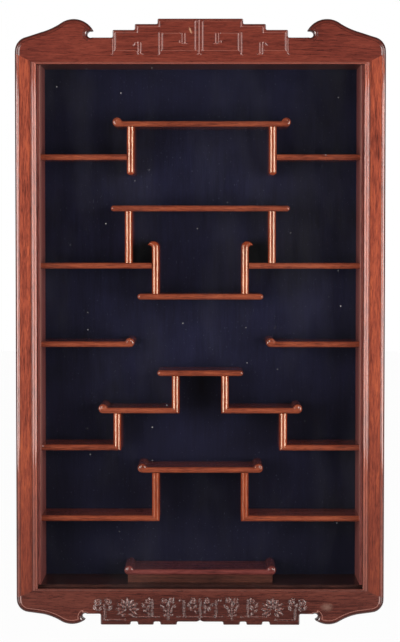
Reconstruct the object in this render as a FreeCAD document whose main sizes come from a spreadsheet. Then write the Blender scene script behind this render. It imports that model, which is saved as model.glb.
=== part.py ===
import FreeCAD, Part
import math
import os
import types

import Sketcher

# Wall-hung display cabinet of rosewood with one glazed door.
# Millimetres. +X to the right, the front looks along -Y, the wall is the plane y = 0, +Z up.
# The origin lies on the wall plane, level with the middle of the door's glass.

os.makedirs("parts", exist_ok=True)
doc = FreeCAD.newDocument("display_cabinet")
Vector = FreeCAD.Vector

# Driving dimensions: alias, millimetres, meaning
DRIVING = (
    ("sight_half_width", 247.5, "glass that shows, middle to edge"),
    ("sight_half_height", 398.0, "glass that shows, middle to edge"),
    ("stile_width", 32.5, "door frame beside the glass"),
    ("crest_rise", 68.5, "door frame above the glass, at its highest"),
    ("apron_drop", 55.5, "door frame below the glass, at its lowest"),
    ("door_thickness", 18.0, "door frame from its back to its beads"),
    ("bead_rise", 1.2, "the frame's beads and carving stand this proud"),
    ("bead_width", 3.6, "one of the two beads round the glass"),
    ("frame_edge_round", 4.0, "round nose along the frame's outer edge"),
    ("glass_rebate", 6.0, "how far the glass reaches under the frame"),
    ("sight_lip", 8.0, "wood in front of the glass"),
    ("glass_thickness", 2.0, "window glass"),
    ("glass_play", 0.3, "gap between the glass or a bead and the rebate"),
    ("mitre_rise_top", 16.5, "the upper mitre climbs this much over the stile"),
    ("mitre_rise_bottom", 14.0, "the lower mitre drops this much over the stile"),
    ("tenon_length", 14.0, "stile tenon in the rail"),
    ("tenon_width", 12.0, "stile tenon across the stile"),
    ("tenon_thickness", 5.0, "stile tenon through the frame's thickness"),
    ("tenon_play", 0.2, "mortise larger than the tenon all round"),
    ("door_gap", 1.0, "between the case and the closed door"),
    ("case_depth", 101.0, "wall to the case's front edge"),
    ("case_side_lap", 3.5, "the side boards reach this far in front of the glass's edge"),
    ("case_head_gap", 1.5, "the case top lies this far above the glass's edge"),
    ("case_foot_lap", 3.5, "the case bottom lies this far above the glass's edge"),
    ("side_thickness", 18.0, "side boards"),
    ("cap_thickness", 13.0, "top and bottom boards"),
    ("rabbet_width", 8.0, "the cap boards' seat in the side boards"),
    ("back_thickness", 5.0, "back board"),
    ("back_rebate", 6.0, "the back board's seat round the case"),
    ("back_play", 0.2, "back board smaller than its rebate"),
    ("lining_thickness", 1.0, "velvet with its backing"),
    ("shelf_depth", 80.0, "lining to shelf front"),
    ("shelf_thickness", 9.0, "every shelf board"),
    ("shelf_nose", 3.6, "rounding of the shelf fronts"),
    ("housing_depth", 3.0, "shelf ends let into the side boards"),
    ("upright_width", 11.6, "every upright"),
    ("upright_nose", 4.4, "rounding of the upright fronts"),
    ("curl_radius", 7.2, "rolled shelf ends"),
    ("curl_blend", 3.0, "hollow between a roll and its board"),
    ("upright_end_round", 3.0, "bow of the free upright ends"),
    ("hook_reach", 6.4, "hooked upright tops, sideways"),
    ("hook_drop", 6.7, "hooked upright tops, crown to tip"),
    ("hook_root", 11.5, "hooked upright tops, crown to root"),
    ("hook_shoulder", 8.6, "hooked upright tops, crown to the inner shoulder"),
    ("plinth_setback", 4.0, "platform plinth behind its board"),
    ("plinth_thickness", 9.0, "walls of the platform plinth"),
    ("plinth_inset", 5.5, "platform plinth inside the board's ends"),
    ("hinge_height", 40.0, "hinge leaf along the door"),
    ("hinge_width", 13.0, "hinge leaf from the pin's middle"),
    ("hinge_plate", 1.2, "thickness of a hinge leaf"),
    ("hinge_barrel", 3.0, "outer radius of the knuckles"),
    ("hinge_pin", 1.3, "radius of the hinge pin"),
    ("hinge_play", 0.05, "radial play of the pin"),
    ("hinge_side_play", 0.3, "between knuckles and beside wood"),
    ("hinge_inset", 133.0, "glass edge to a hinge's middle, along the stile"),
    ("hinge_screw_rise", 12.8, "leaf's middle to its upper and lower screw"),
    ("hinge_screw_reach", 8.0, "pin's middle to the leaf's screws"),
    ("screw_head", 2.6, "radius of the hinge screw heads"),
    ("screw_shank", 1.3, "radius of the screw shanks"),
    ("screw_length", 9.0, "hinge screws with their heads"),
    ("screw_play", 0.05, "holes wider than screws, radius"),
    ("screw_slot", 0.6, "width of the slot in a screw head"),
    ("magnet_radius", 2.5, "catch magnet and strike disc"),
    ("magnet_length", 8.0, "catch magnet"),
    ("strike_length", 2.0, "strike disc"),
    ("catch_play", 0.05, "bores wider than magnet and strike, radius"),
    ("hanger_width", 11.0, "keyhole plate"),
    ("hanger_height", 42.0, "keyhole plate"),
    ("hanger_plate", 1.5, "keyhole plate, let in flush"),
    ("hanger_drop", 59.5, "case top's underside to the keyholes"),
    ("keyhole_entry", 3.75, "radius of the keyhole's entry"),
    ("keyhole_slot", 2.0, "half width of the keyhole's slot"),
    ("keyhole_travel", 10.0, "entry middle to slot end middle"),
    ("keyhole_room", 7.0, "hollow in the wood behind the plate"),
    ("hanger_screw_rise", 17.6, "plate's middle to its upper and lower screw"),
    ("pin_head", 1.8, "radius of the back board brads' heads"),
    ("pin_shank", 0.8, "radius of the brads"),
    ("pin_length", 14.0, "brads with their heads"),
    ("pin_head_thickness", 0.6, "heads let into the back board"),
    ("top_tier_shift", 2.0, "the hand-built top tier stands this much to the right"),
    ("platform_rise", 20.8, "case floor to the platform's top"),
    ("top_upright_length", 73.5, "top bridge shelf to the free lower ends of its uprights"),
    ("hooked_upright_height", 80.7, "centre bridge shelf to the hooked tops"),
    ("hook_tip_width", 2.5, "blunt end of the frame's carved hooks, across"),
    ("hook_tip_height", 1.0, "blunt end of the frame's carved hooks, up and down"),
    ("crest_notch_depth", 9.2, "hollow under the hook, from the tip"),
    ("crest_notch_foot", 2.8, "the hollow's foot on the flat, from the tip"),
    ("wave_hollow", 1.2, "how far the waves' sides bow inwards"),
    ("fret_width", 3.4, "ridges of the carved frets"),
    ("apron_notch_depth", 4.5, "hollow behind the hook, from the tip"),
    ("medallion_radius", 15.0, "round fan medallions of the apron"),
    ("overrun", 5.0, "cuts start this far outside the wood"),
)


# A size that knows its number and the sheet formula that gives it

class Size:
    def __init__(self, number, formula):
        self.number = number
        self.formula = formula

    def __add__(self, other):
        other = as_size(other)
        return Size(self.number + other.number, f"({self.formula} + {other.formula})")

    def __sub__(self, other):
        other = as_size(other)
        return Size(self.number - other.number, f"({self.formula} - {other.formula})")

    def __mul__(self, factor):
        factor = as_size(factor)
        return Size(self.number * factor.number, f"({self.formula} * {factor.formula})")

    def __truediv__(self, divisor):
        divisor = as_size(divisor)
        return Size(self.number / divisor.number, f"({self.formula} / {divisor.formula})")

    def __neg__(self):
        return Size(-self.number, f"(-1 * {self.formula})")

    def __radd__(self, other):
        return as_size(other) + self

    def __rsub__(self, other):
        return as_size(other) - self

    def __rmul__(self, other):
        return as_size(other) * self


def as_size(value):
    return value if isinstance(value, Size) else Size(float(value), f"{float(value)}")


def root(size):
    return Size(math.sqrt(size.number), f"sqrt({size.formula})")


ZERO = as_size(0)
sheet = doc.addObject("Spreadsheet::Sheet", "sizes")
named = {}
for row, (alias, number, meaning) in enumerate(DRIVING, start=1):
    sheet.set(f"A{row}", alias)
    sheet.set(f"B{row}", str(number))
    sheet.setAlias(f"B{row}", alias)
    sheet.set(f"C{row}", meaning)
    named[alias] = Size(number, f"sizes.{alias}")
doc.recompute()
d = types.SimpleNamespace(**named)

# Planes that several pieces share

frame_half_width = d.sight_half_width + d.stile_width
case_half_width = d.sight_half_width - d.case_side_lap
case_head = d.sight_half_height + d.case_head_gap
case_foot = d.sight_half_height - d.case_foot_lap
hinge_rise = d.sight_half_height - d.hinge_inset
hanger_rise = case_head - d.hanger_drop
case_front = -d.case_depth
door_back = case_front - d.door_gap
door_front = door_back - d.door_thickness
door_face = door_front + d.bead_rise
lining_front = -(d.back_thickness + d.lining_thickness)
shelf_front = lining_front - d.shelf_depth
case_outer = case_half_width + d.side_thickness
case_crown = case_head + d.cap_thickness
case_base = -(case_foot + d.cap_thickness)
pin_x = case_outer + d.hinge_barrel + d.hinge_side_play
pin_y = door_back + d.hinge_barrel + d.hinge_side_play
glass_front = door_front + d.sight_lip
glass_back = glass_front + d.glass_thickness

# Shelf tops as shares of the case's clear height, from its floor; places as shares of half its width

level_shares = (
    ("top_bridge", 0.8935),
    ("upper", 0.8296),
    ("high_bridge", 0.7312),
    ("middle", 0.6207),
    ("centre_bridge", 0.5611),
    ("side", 0.469),
    ("small_centre", 0.4131),
    ("scroll", 0.3406),
    ("corner", 0.2688),
    ("low_bridge", 0.2251),
    ("lower", 0.131),
)
shelf_end_shares = (
    ("top_bridge", 0.5586),
    ("high_bridge", 0.5615),
    ("centre_bridge", 0.3959),
    ("side", 0.4131),
    ("small_centre", 0.2705),
    ("scroll", 0.6422),
    ("low_bridge", 0.3955),
    ("platform", 0.4795),
)
upright_shares = (
    ("top", 0.4451),
    ("high", 0.45),
    ("hooked", 0.2803),
    ("centre", 0.1553),
    ("corner", 0.523),
    ("lower", 0.2803),
)


def sized(shares, size, start=ZERO):
    """The shares of a size, counted from a start, under their names."""
    return types.SimpleNamespace(**{name: start + size * share for name, share in shares})


levels = sized(level_shares, case_head + case_foot, -case_foot)
levels.platform = d.platform_rise - case_foot
ends = sized(shelf_end_shares, case_half_width)
upright_middles = sized(upright_shares, case_half_width)

pieces = []


# Ways of making a piece

def bind(item, **formulas):
    """Ties properties to the sheet; an underscore in a keyword stands for a dot."""
    for keyword, size in formulas.items():
        item.setExpression(keyword.replace("_", "."), as_size(size).formula)


def place(item, x, y, z, rotation=None):
    if rotation is not None:
        item.Placement = FreeCAD.Placement(Vector(), rotation)
    bind(item, Placement_Base_x=x, Placement_Base_y=y, Placement_Base_z=z)


def new_piece(label):
    body = doc.addObject("PartDesign::Body", label)
    body.Label = label
    pieces.append(body)
    return body


def keep(item, label):
    item.Label = label
    pieces.append(item)
    return item


def origin_plane(body, role):
    return next(plane for plane in body.Origin.OriginFeatures if plane.Role == role)


def corner(step):
    """The end point of an outline's step, as numbers."""
    return Vector(as_size(step[0]).number, as_size(step[1]).number, 0)


def outline_sketch(body, name, role, height, *outlines):
    """Closed outlines on one of the body's planes, with every corner tied to the sheet.

    A step is (u, v) for a straight line to a point, or (u, v, via_u, via_v) for an arc to it.
    """
    sketch = body.newObject("Sketcher::SketchObject", name)
    sketch.AttachmentSupport = [(origin_plane(body, role), "")]
    sketch.MapMode = "FlatFace"
    bind(sketch, AttachmentOffset_Base_z=height)
    constraints, formulas = [], []

    def fix(geometry, end, u, v):
        for kind, size in (("DistanceX", as_size(u)), ("DistanceY", as_size(v))):
            formulas.append((len(constraints), size.formula))
            constraints.append(Sketcher.Constraint(kind, -1, 1, geometry, end, size.number))

    for outline in outlines:
        first = len(sketch.Geometry)
        ends = []
        via_points = []
        for index, step in enumerate(outline):
            start, stop = corner(outline[index - 1]), corner(step)
            if len(step) == 2:
                sketch.addGeometry(Part.LineSegment(start, stop), False)
                ends.append((1, 2))
                continue
            via = Vector(as_size(step[2]).number, as_size(step[3]).number, 0)
            turns_left = (via - start).cross(stop - via).z > 0
            arc = Part.Arc(start, via, stop) if turns_left else Part.Arc(stop, via, start)
            sketch.addGeometry(arc, False)
            ends.append((1, 2) if turns_left else (2, 1))
            via_points.append((first + index, step, via))
        for index, step in enumerate(outline):
            following = (index + 1) % len(outline)
            fix(first + index, ends[index][1], step[0], step[1])
            constraints.append(Sketcher.Constraint(
                "Coincident", first + index, ends[index][1], first + following, ends[following][0]))
        for geometry, step, via in via_points:
            point = sketch.addGeometry(Part.Point(via), True)
            fix(point, 1, step[2], step[3])
            constraints.append(Sketcher.Constraint("PointOnObject", point, 1, geometry))
    sketch.addConstraint(constraints)
    for index, formula in formulas:
        sketch.setExpression(f"Constraints[{index}]", formula)
    return sketch


def pad(body, sketch, length, name="pad"):
    feature = body.newObject("PartDesign::Pad", f"{body.Name}_{name}")
    feature.Profile = sketch
    bind(feature, Length=length)
    sketch.Visibility = False
    return feature


def pocket(body, sketch, length, name):
    feature = body.newObject("PartDesign::Pocket", f"{body.Name}_{name}")
    feature.Profile = sketch
    bind(feature, Length=length)


def front_outline(body, back, depth, *outlines, name="pad"):
    """Outlines seen from the front, as thick as depth from the plane y = back."""
    sketch = outline_sketch(body, f"{body.Name}_{name}_outline", "XZ_Plane", -as_size(back), *outlines)
    return pad(body, sketch, depth, name)


def box_in(body, kind, name, low, high):
    """Adds or takes away the box between two corners."""
    feature = body.newObject(f"PartDesign::{kind}Box", f"{body.Name}_{name}")
    low, high = [as_size(value) for value in low], [as_size(value) for value in high]
    bind(feature, Length=high[0] - low[0], Width=high[1] - low[1], Height=high[2] - low[2])
    place(feature, *low)
    return feature


UPWARD = FreeCAD.Rotation()
FORWARD = FreeCAD.Rotation(Vector(1, 0, 0), 90)
RIGHTWARD = FreeCAD.Rotation(Vector(0, 1, 0), 90)
LEFTWARD = FreeCAD.Rotation(Vector(0, 1, 0), -90)


def bore_in(body, name, start, rotation, radius, length, kind="Subtractive"):
    feature = body.newObject(f"PartDesign::{kind}Cylinder", f"{body.Name}_{name}")
    bind(feature, Radius=radius, Height=length)
    place(feature, *start, rotation)
    return feature


def cone_in(body, name, start, rotation, radius, far_radius, length):
    feature = body.newObject("PartDesign::SubtractiveCone", f"{body.Name}_{name}")
    bind(feature, Radius1=radius, Radius2=far_radius, Height=length)
    place(feature, *start, rotation)
    return feature


def rectangle(left, low, right, high):
    return [(left, low), (right, low), (right, high), (left, high)]


def round_front(body, feature, front, steps, outline, radius, name="nose"):
    """Rounds the front edges of the outline's chosen steps."""
    doc.recompute()
    marks = []
    for index in steps:
        step = outline[index]
        if len(step) == 4:
            mark = Vector(as_size(step[2]).number, 0, as_size(step[3]).number)
        else:
            before = outline[index - 1]
            middle = (corner(before) + corner(step)) / 2
            mark = Vector(middle.x, 0, middle.y)
        mark.y = as_size(front).number
        marks.append(Part.Vertex(mark))
    edges = []
    for number, edge in enumerate(feature.Shape.Edges, start=1):
        box = edge.BoundBox
        on_front = max(abs(box.YMin - as_size(front).number), abs(box.YMax - as_size(front).number)) < 1e-4
        if on_front and any(edge.distToShape(mark)[0] < 1e-4 for mark in marks):
            edges.append(f"Edge{number}")
    if len(edges) != len(marks):
        raise ValueError(f"{body.Label}: {len(marks)} edges to round, {len(edges)} found")
    fillet = body.newObject("PartDesign::Fillet", f"{body.Name}_{name}")
    fillet.Base = (feature, edges)
    bind(fillet, Radius=radius)
    return fillet


def board(label, left, low, right, high, back, depth):
    body = new_piece(label)
    front_outline(body, back, depth, rectangle(left, low, right, high))
    return body


# Screws, brads and their holes

def screw(name, head_radius, head_length, shank_radius, length, at, rotation, slotted=True):
    """A countersunk screw with its head's face at the point and its shank along the rotated Z."""
    shank = doc.addObject("Part::Cylinder", f"{name}_shank")
    bind(shank, Radius=shank_radius, Height=length)
    head = doc.addObject("Part::Cone", f"{name}_head")
    bind(head, Radius1=head_radius, Radius2=shank_radius, Height=head_length)
    whole = doc.addObject("Part::Fuse", f"{name}_whole")
    whole.Base, whole.Tool = head, shank
    if slotted:
        slot = doc.addObject("Part::Box", f"{name}_slot")
        bind(slot, Length=head_radius * 2, Width=d.screw_slot, Height=head_length / 2)
        place(slot, -head_radius, d.screw_slot / -2, ZERO)
        cut = doc.addObject("Part::Cut", f"{name}_cut")
        cut.Base, cut.Tool = whole, slot
        whole = cut
    place(whole, *at, rotation)
    return whole


def group(label, items):
    compound = doc.addObject("Part::Compound", label)
    compound.Links = items
    return keep(compound, label)


# Case: two side boards run full height, the cap boards lie in their rabbets,
# and the shelf ends are let into them

SIDES = (("left", -1), ("right", 1))


def span(sign, near, far):
    """Two distances from the middle as a low and a high x on one side."""
    near, far = as_size(near), as_size(far)
    return (-far, -near) if sign < 0 else (near, far)


hinge_rows = (("upper", 1), ("lower", -1))
low_and_high = (("low", -1), ("high", 1))
side_boards = {}
shelf_levels_in_side = (
    ("upper", levels.upper),
    ("middle", levels.middle),
    ("side", levels.side),
    ("corner", levels.corner),
    ("lower", levels.lower),
)
hanger_x = (case_half_width + d.back_rebate + case_outer) / 2
hanger_low = hanger_rise - d.hanger_height / 2
magnet_x = (d.sight_half_width + d.glass_rebate + case_outer) / 2

for side, sign in SIDES:
    inner = case_half_width
    a, b = span(sign, inner, case_outer)
    body = board(f"case_side_{side}", a, case_base, b, case_crown, ZERO, d.case_depth)
    side_boards[side] = body
    a, b = span(sign, inner - d.overrun, inner + d.rabbet_width)
    front = case_front - d.overrun
    box_in(body, "Subtractive", "top_rabbet",
           (a, front, case_head), (b, d.overrun, case_crown + d.overrun))
    box_in(body, "Subtractive", "bottom_rabbet",
           (a, front, case_base - d.overrun), (b, d.overrun, -case_foot))
    a, b = span(sign, inner - d.overrun, inner + d.back_rebate)
    box_in(body, "Subtractive", "back_seat",
           (a, -d.back_thickness, case_base - d.overrun), (b, d.overrun, case_crown + d.overrun))
    a, b = span(sign, inner - d.overrun, inner + d.housing_depth)
    for name, level in shelf_levels_in_side:
        box_in(body, "Subtractive", f"{name}_housing",
               (a, shelf_front, level - d.shelf_thickness), (b, -d.back_thickness, level))
    a, b = span(sign, hanger_x - d.hanger_width / 2, hanger_x + d.hanger_width / 2)
    box_in(body, "Subtractive", "hanger_seat",
           (a, -d.hanger_plate, hanger_low), (b, d.overrun, hanger_low + d.hanger_height))
    a, b = span(sign, hanger_x - d.keyhole_entry, hanger_x + d.keyhole_entry)
    box_in(body, "Subtractive", "hanger_room",
           (a, -(d.hanger_plate + d.keyhole_room), hanger_rise - d.keyhole_entry),
           (b, d.overrun, hanger_rise + d.keyhole_travel + d.keyhole_entry))
    for where, step in low_and_high:
        bore_in(body, f"hanger_bore_{where}",
                (sign * hanger_x, -d.hanger_plate / 2, hanger_rise + step * d.hanger_screw_rise),
                FORWARD, d.screw_shank + d.screw_play, d.screw_length)

for row, turn in hinge_rows:
    for where, step in low_and_high:
        z = turn * hinge_rise + step * d.hinge_screw_rise
        bore_in(side_boards["right"], f"{row}_{where}_bore",
                (case_outer - d.screw_length, pin_y + d.hinge_screw_reach, z),
                RIGHTWARD, d.screw_shank + d.screw_play, d.screw_length + d.overrun)
bore_in(side_boards["left"], "magnet_bore", (-magnet_x, case_front + d.magnet_length, ZERO),
        FORWARD, d.magnet_radius + d.catch_play, d.magnet_length + d.overrun)

cap_half = case_half_width + d.rabbet_width
case_top = board("case_top", -cap_half, case_head, cap_half, case_crown, ZERO, d.case_depth)
case_bottom = board("case_bottom", -cap_half, case_base, cap_half, -case_foot, ZERO, d.case_depth)
for body, low, high in ((case_top, case_head - d.overrun, case_head + d.back_rebate),
                        (case_bottom, -(case_foot + d.back_rebate), d.overrun - case_foot)):
    box_in(body, "Subtractive", "back_seat",
           (-cap_half - d.overrun, -d.back_thickness, low), (cap_half + d.overrun, d.overrun, high))

# Back board, pinned in its rebate, with velvet glued on its front

back_half = case_half_width + d.back_rebate - d.back_play
back_low = -(case_foot + d.back_rebate - d.back_play)
back_high = case_head + d.back_rebate - d.back_play
back = board("back_board", -back_half, back_low, back_half, back_high, ZERO, d.back_thickness)
pin_edge = d.back_rebate / 2
pin_row_shares = (-0.92, -0.5, 0, 0.5, 0.92)
pin_column_shares = (-0.6, 0, 0.6)
pin_places = []
for side, sign in SIDES:
    for share in pin_row_shares:
        pin_places.append((side_boards[side], sign * (case_half_width + pin_edge), share * case_foot))
for share in pin_column_shares:
    pin_places.append((case_top, share * case_half_width, case_head + pin_edge))
    pin_places.append((case_bottom, share * case_half_width, -(case_foot + pin_edge)))
pins = []
for number, (carrier, x, z) in enumerate(pin_places, start=1):
    pins.append(screw(f"back_pin_{number}", d.pin_head, d.pin_head_thickness, d.pin_shank,
                      d.pin_length, (x, ZERO, z), FORWARD, slotted=False))
    bore_in(back, f"pin_bore_{number}", (x, d.overrun, z), FORWARD,
            d.pin_shank + d.screw_play, d.back_thickness + d.overrun * 2)
    cone_in(back, f"pin_seat_{number}", (x, ZERO, z), FORWARD,
            d.pin_head + d.screw_play, d.pin_shank + d.screw_play, d.pin_head_thickness + d.screw_play)
    bore_in(carrier, f"pin_bore_{number}", (x, ZERO, z), FORWARD,
            d.pin_shank + d.screw_play, d.pin_length + d.screw_play)
group("back_board_pins", pins)

board("velvet_lining", -case_half_width, -case_foot, case_half_width, case_head,
      -d.back_thickness, d.lining_thickness)

# Keyhole hangers, flush in the back edges of the side boards

hanger_screws = []
plates = []
for side, sign in SIDES:
    plate = doc.addObject("Part::Box", f"hanger_plate_{side}")
    bind(plate, Length=d.hanger_width, Width=d.hanger_plate, Height=d.hanger_height)
    place(plate, sign * hanger_x - d.hanger_width / 2, -d.hanger_plate, hanger_low)
    entry = doc.addObject("Part::Cylinder", f"keyhole_entry_{side}")
    bind(entry, Radius=d.keyhole_entry, Height=d.hanger_plate + d.overrun * 2)
    place(entry, sign * hanger_x, d.overrun, hanger_rise, FORWARD)
    slot_end = doc.addObject("Part::Cylinder", f"keyhole_end_{side}")
    bind(slot_end, Radius=d.keyhole_slot, Height=d.hanger_plate + d.overrun * 2)
    place(slot_end, sign * hanger_x, d.overrun, hanger_rise + d.keyhole_travel, FORWARD)
    slot = doc.addObject("Part::Box", f"keyhole_slot_{side}")
    bind(slot, Length=d.keyhole_slot * 2, Width=d.hanger_plate + d.overrun * 2, Height=d.keyhole_travel)
    place(slot, sign * hanger_x - d.keyhole_slot, -(d.hanger_plate + d.overrun), hanger_rise)
    holes = [entry, slot_end, slot]
    for where, step in low_and_high:
        z = hanger_rise + step * d.hanger_screw_rise
        name = f"hanger_{side}_{where}"
        hole = doc.addObject("Part::Cone", f"{name}_seat")
        bind(hole, Radius1=d.screw_head + d.screw_play, Radius2=d.screw_shank + d.screw_play,
             Height=d.hanger_plate)
        place(hole, sign * hanger_x, ZERO, z, FORWARD)
        holes.append(hole)
        hanger_screws.append(screw(name, d.screw_head, d.hanger_plate, d.screw_shank,
                                   d.screw_length, (sign * hanger_x, ZERO, z), FORWARD))
    opening = doc.addObject("Part::MultiFuse", f"keyhole_{side}")
    opening.Shapes = holes
    cut = doc.addObject("Part::Cut", f"hanger_{side}")
    cut.Base, cut.Tool = plate, opening
    plates.append(cut)
group("hanger_plates", plates)
group("hanger_screws", hanger_screws)


# Shelf ends: an outline runs along the underside to the end, and back along the top

def square_end(x, sign, level):
    return [(x, level - d.shelf_thickness), (x, level)]


def round_end(x, sign, level):
    radius = d.shelf_thickness / 2
    start = x - sign * radius
    return [(start, level - d.shelf_thickness), (start, level, x, level - radius)]


def curled_end(x, sign, level):
    """The board's end rolls up and over into its top face."""
    radius, blend = d.curl_radius, d.curl_blend
    middle_x = x - sign * radius
    middle_z = level - d.shelf_thickness + radius
    climb = level + blend - middle_z
    across = root((radius + blend) * (radius + blend) - climb * climb)
    blend_x = middle_x - sign * across
    share = radius / (radius + blend)
    touch_x = middle_x - sign * across * share
    touch_z = middle_z + climb * share
    lean_x = touch_x - blend_x
    lean_z = touch_z - (level + blend) - blend
    lean = root(lean_x * lean_x + lean_z * lean_z)
    return [
        (middle_x, level - d.shelf_thickness),
        (touch_x, touch_z, x, middle_z),
        (blend_x, level, blend_x + lean_x * blend / lean, level + blend + lean_z * blend / lean),
    ]


def mitred_end(x, sign, level):
    return [(x, level - d.shelf_thickness), (x - sign * d.upright_width, level)]


def shelf(label, left_end, right_end, level):
    """A shelf board between two ends, its front rounded; an end is (kind, x)."""
    right = right_end[0](right_end[1], 1, level)
    left = left_end[0](left_end[1], -1, level)
    left_back = [left[-1][:2]]
    for index in range(len(left) - 1, 0, -1):
        stop, step = left[index - 1], left[index]
        left_back.append(stop[:2] + tuple(step[2:]))
    outline = right + left_back
    body = new_piece(label)
    base = front_outline(body, lining_front, d.shelf_depth, outline)
    steps = [0, len(right)]
    if right_end[0] in (round_end, curled_end):
        steps += range(1, len(right))
    if left_end[0] in (round_end, curled_end):
        steps += range(len(right) + 1, len(outline))
    round_front(body, base, shelf_front, steps, outline, d.shelf_nose)


def mirrored_shelves(label, level, wall_side, free_kind, free_x):
    """The same shelf on the left and on the right, from the side board to its free end."""
    shelf(f"{label}_left", (square_end, -wall_side), (free_kind, -free_x), level)
    shelf(f"{label}_right", (free_kind, free_x), (square_end, wall_side), level)


housed = case_half_width + d.housing_depth
half_upright = d.upright_width / 2
shift = d.top_tier_shift

shelf("top_bridge_shelf", (curled_end, shift - ends.top_bridge), (curled_end, shift + ends.top_bridge),
      levels.top_bridge)
shelf("upper_shelf_left", (square_end, -housed), (square_end, shift - upright_middles.top - half_upright),
      levels.upper)
shelf("upper_shelf_right", (square_end, shift + upright_middles.top + half_upright), (square_end, housed),
      levels.upper)
shelf("high_bridge_shelf", (round_end, -ends.high_bridge), (round_end, ends.high_bridge),
      levels.high_bridge)
mirrored_shelves("middle_shelf", levels.middle, housed, square_end, upright_middles.hooked + half_upright)
shelf("centre_bridge_shelf", (round_end, -ends.centre_bridge), (round_end, ends.centre_bridge),
      levels.centre_bridge)
mirrored_shelves("side_shelf", levels.side, housed, curled_end, ends.side)
shelf("small_centre_shelf", (round_end, -ends.small_centre), (round_end, ends.small_centre),
      levels.small_centre)
scroll_corner = upright_middles.centre - half_upright
shelf("scroll_shelf_left", (curled_end, -ends.scroll), (mitred_end, -scroll_corner), levels.scroll)
shelf("scroll_shelf_right", (mitred_end, scroll_corner), (curled_end, ends.scroll), levels.scroll)
mirrored_shelves("corner_shelf", levels.corner, housed, mitred_end, upright_middles.corner - half_upright)
shelf("low_bridge_shelf", (curled_end, -ends.low_bridge), (curled_end, ends.low_bridge),
      levels.low_bridge)
mirrored_shelves("lower_shelf", levels.lower, housed, mitred_end, upright_middles.lower - half_upright)
shelf("platform_board", (curled_end, -ends.platform), (curled_end, ends.platform), levels.platform)


# Uprights, with rounded fronts like the shelves

def upright(label, outline, steps):
    body = new_piece(label)
    base = front_outline(body, lining_front, d.shelf_depth, outline)
    round_front(body, base, shelf_front, steps, outline, d.upright_nose)
    return body


def edges_of(sign, middle, tier_shift=ZERO):
    """The outer and the inner x of an upright."""
    return tier_shift + sign * (middle + half_upright), tier_shift + sign * (middle - half_upright)


# The hollow under a hooked top passes here, as shares of the hook's reach and drop
hook_hollow_shares = (0.19, 0.24)

for side, sign in SIDES:
    outer, inner = edges_of(sign, upright_middles.top, shift)
    high = levels.top_bridge - d.shelf_thickness
    foot = high - d.top_upright_length
    bow = foot + d.upright_end_round
    upright(f"top_upright_{side}",
            [(outer, high), (outer, bow), (inner, bow, (outer + inner) / 2, foot), (inner, high)],
            (1, 3))

    outer, inner = edges_of(sign, upright_middles.high)
    upright(f"high_upright_{side}",
            rectangle(outer, levels.middle, inner, levels.high_bridge - d.shelf_thickness), (0, 2))

    outer, inner = edges_of(sign, upright_middles.hooked)
    crown = levels.centre_bridge + d.hooked_upright_height
    tip_x = outer + sign * d.hook_reach
    tip_z = crown - d.hook_drop
    hollow_x = outer + sign * d.hook_reach * hook_hollow_shares[0]
    hollow_z = tip_z - d.hook_drop * hook_hollow_shares[1]
    upright(f"hooked_upright_{side}",
            [(inner, levels.centre_bridge), (inner, crown - d.hook_shoulder),
             (tip_x, tip_z, (inner + tip_x) / 2, crown),
             (outer, crown - d.hook_root, hollow_x, hollow_z),
             (outer, levels.centre_bridge)],
            (1, 4))

    for name, place_x, high, level in (
        ("centre", upright_middles.centre, levels.small_centre, levels.scroll),
        ("corner", upright_middles.corner, levels.scroll, levels.corner),
        ("lower", upright_middles.lower, levels.low_bridge, levels.lower),
    ):
        outer, inner = edges_of(sign, place_x)
        high = high - d.shelf_thickness
        upright(f"{name}_upright_{side}",
                [(outer, high), (outer, level), (inner, level - d.shelf_thickness), (inner, high)],
                (1, 3))

# Platform plinth: a front wall and two cheeks behind it stand on the case floor

plinth_half = ends.platform - d.plinth_inset
plinth_high = levels.platform - d.shelf_thickness
cheek_front = shelf_front + d.plinth_setback + d.plinth_thickness
board("platform_plinth_front", -plinth_half, -case_foot, plinth_half, plinth_high,
      cheek_front, d.plinth_thickness)
for side, sign in SIDES:
    a, b = span(sign, plinth_half - d.plinth_thickness, plinth_half)
    board(f"platform_plinth_cheek_{side}", a, -case_foot, b, plinth_high,
          lining_front, lining_front - cheek_front)

# Door frame: the stiles run between shallow mitres and are tenoned into the rails

rebate_half = d.sight_half_width + d.glass_rebate
rebate_height = d.sight_half_height + d.glass_rebate
tenon_back = (door_back + door_front) / 2 + d.tenon_thickness / 2
tenon_front = tenon_back - d.tenon_thickness
tenon_near = rebate_half + (frame_half_width - rebate_half - d.tenon_width) / 2
mitre_top = d.sight_half_height + d.mitre_rise_top
mitre_bottom = d.sight_half_height + d.mitre_rise_bottom
tenon_high = mitre_top + d.tenon_length
tenon_low = mitre_bottom + d.tenon_length


def cut_rebate(body):
    """Takes the seat of the glass out of a frame piece, from behind."""
    box_in(body, "Subtractive", "glass_rebate",
           (-rebate_half, glass_front, -rebate_height), (rebate_half, door_back + d.overrun, rebate_height))


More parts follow.
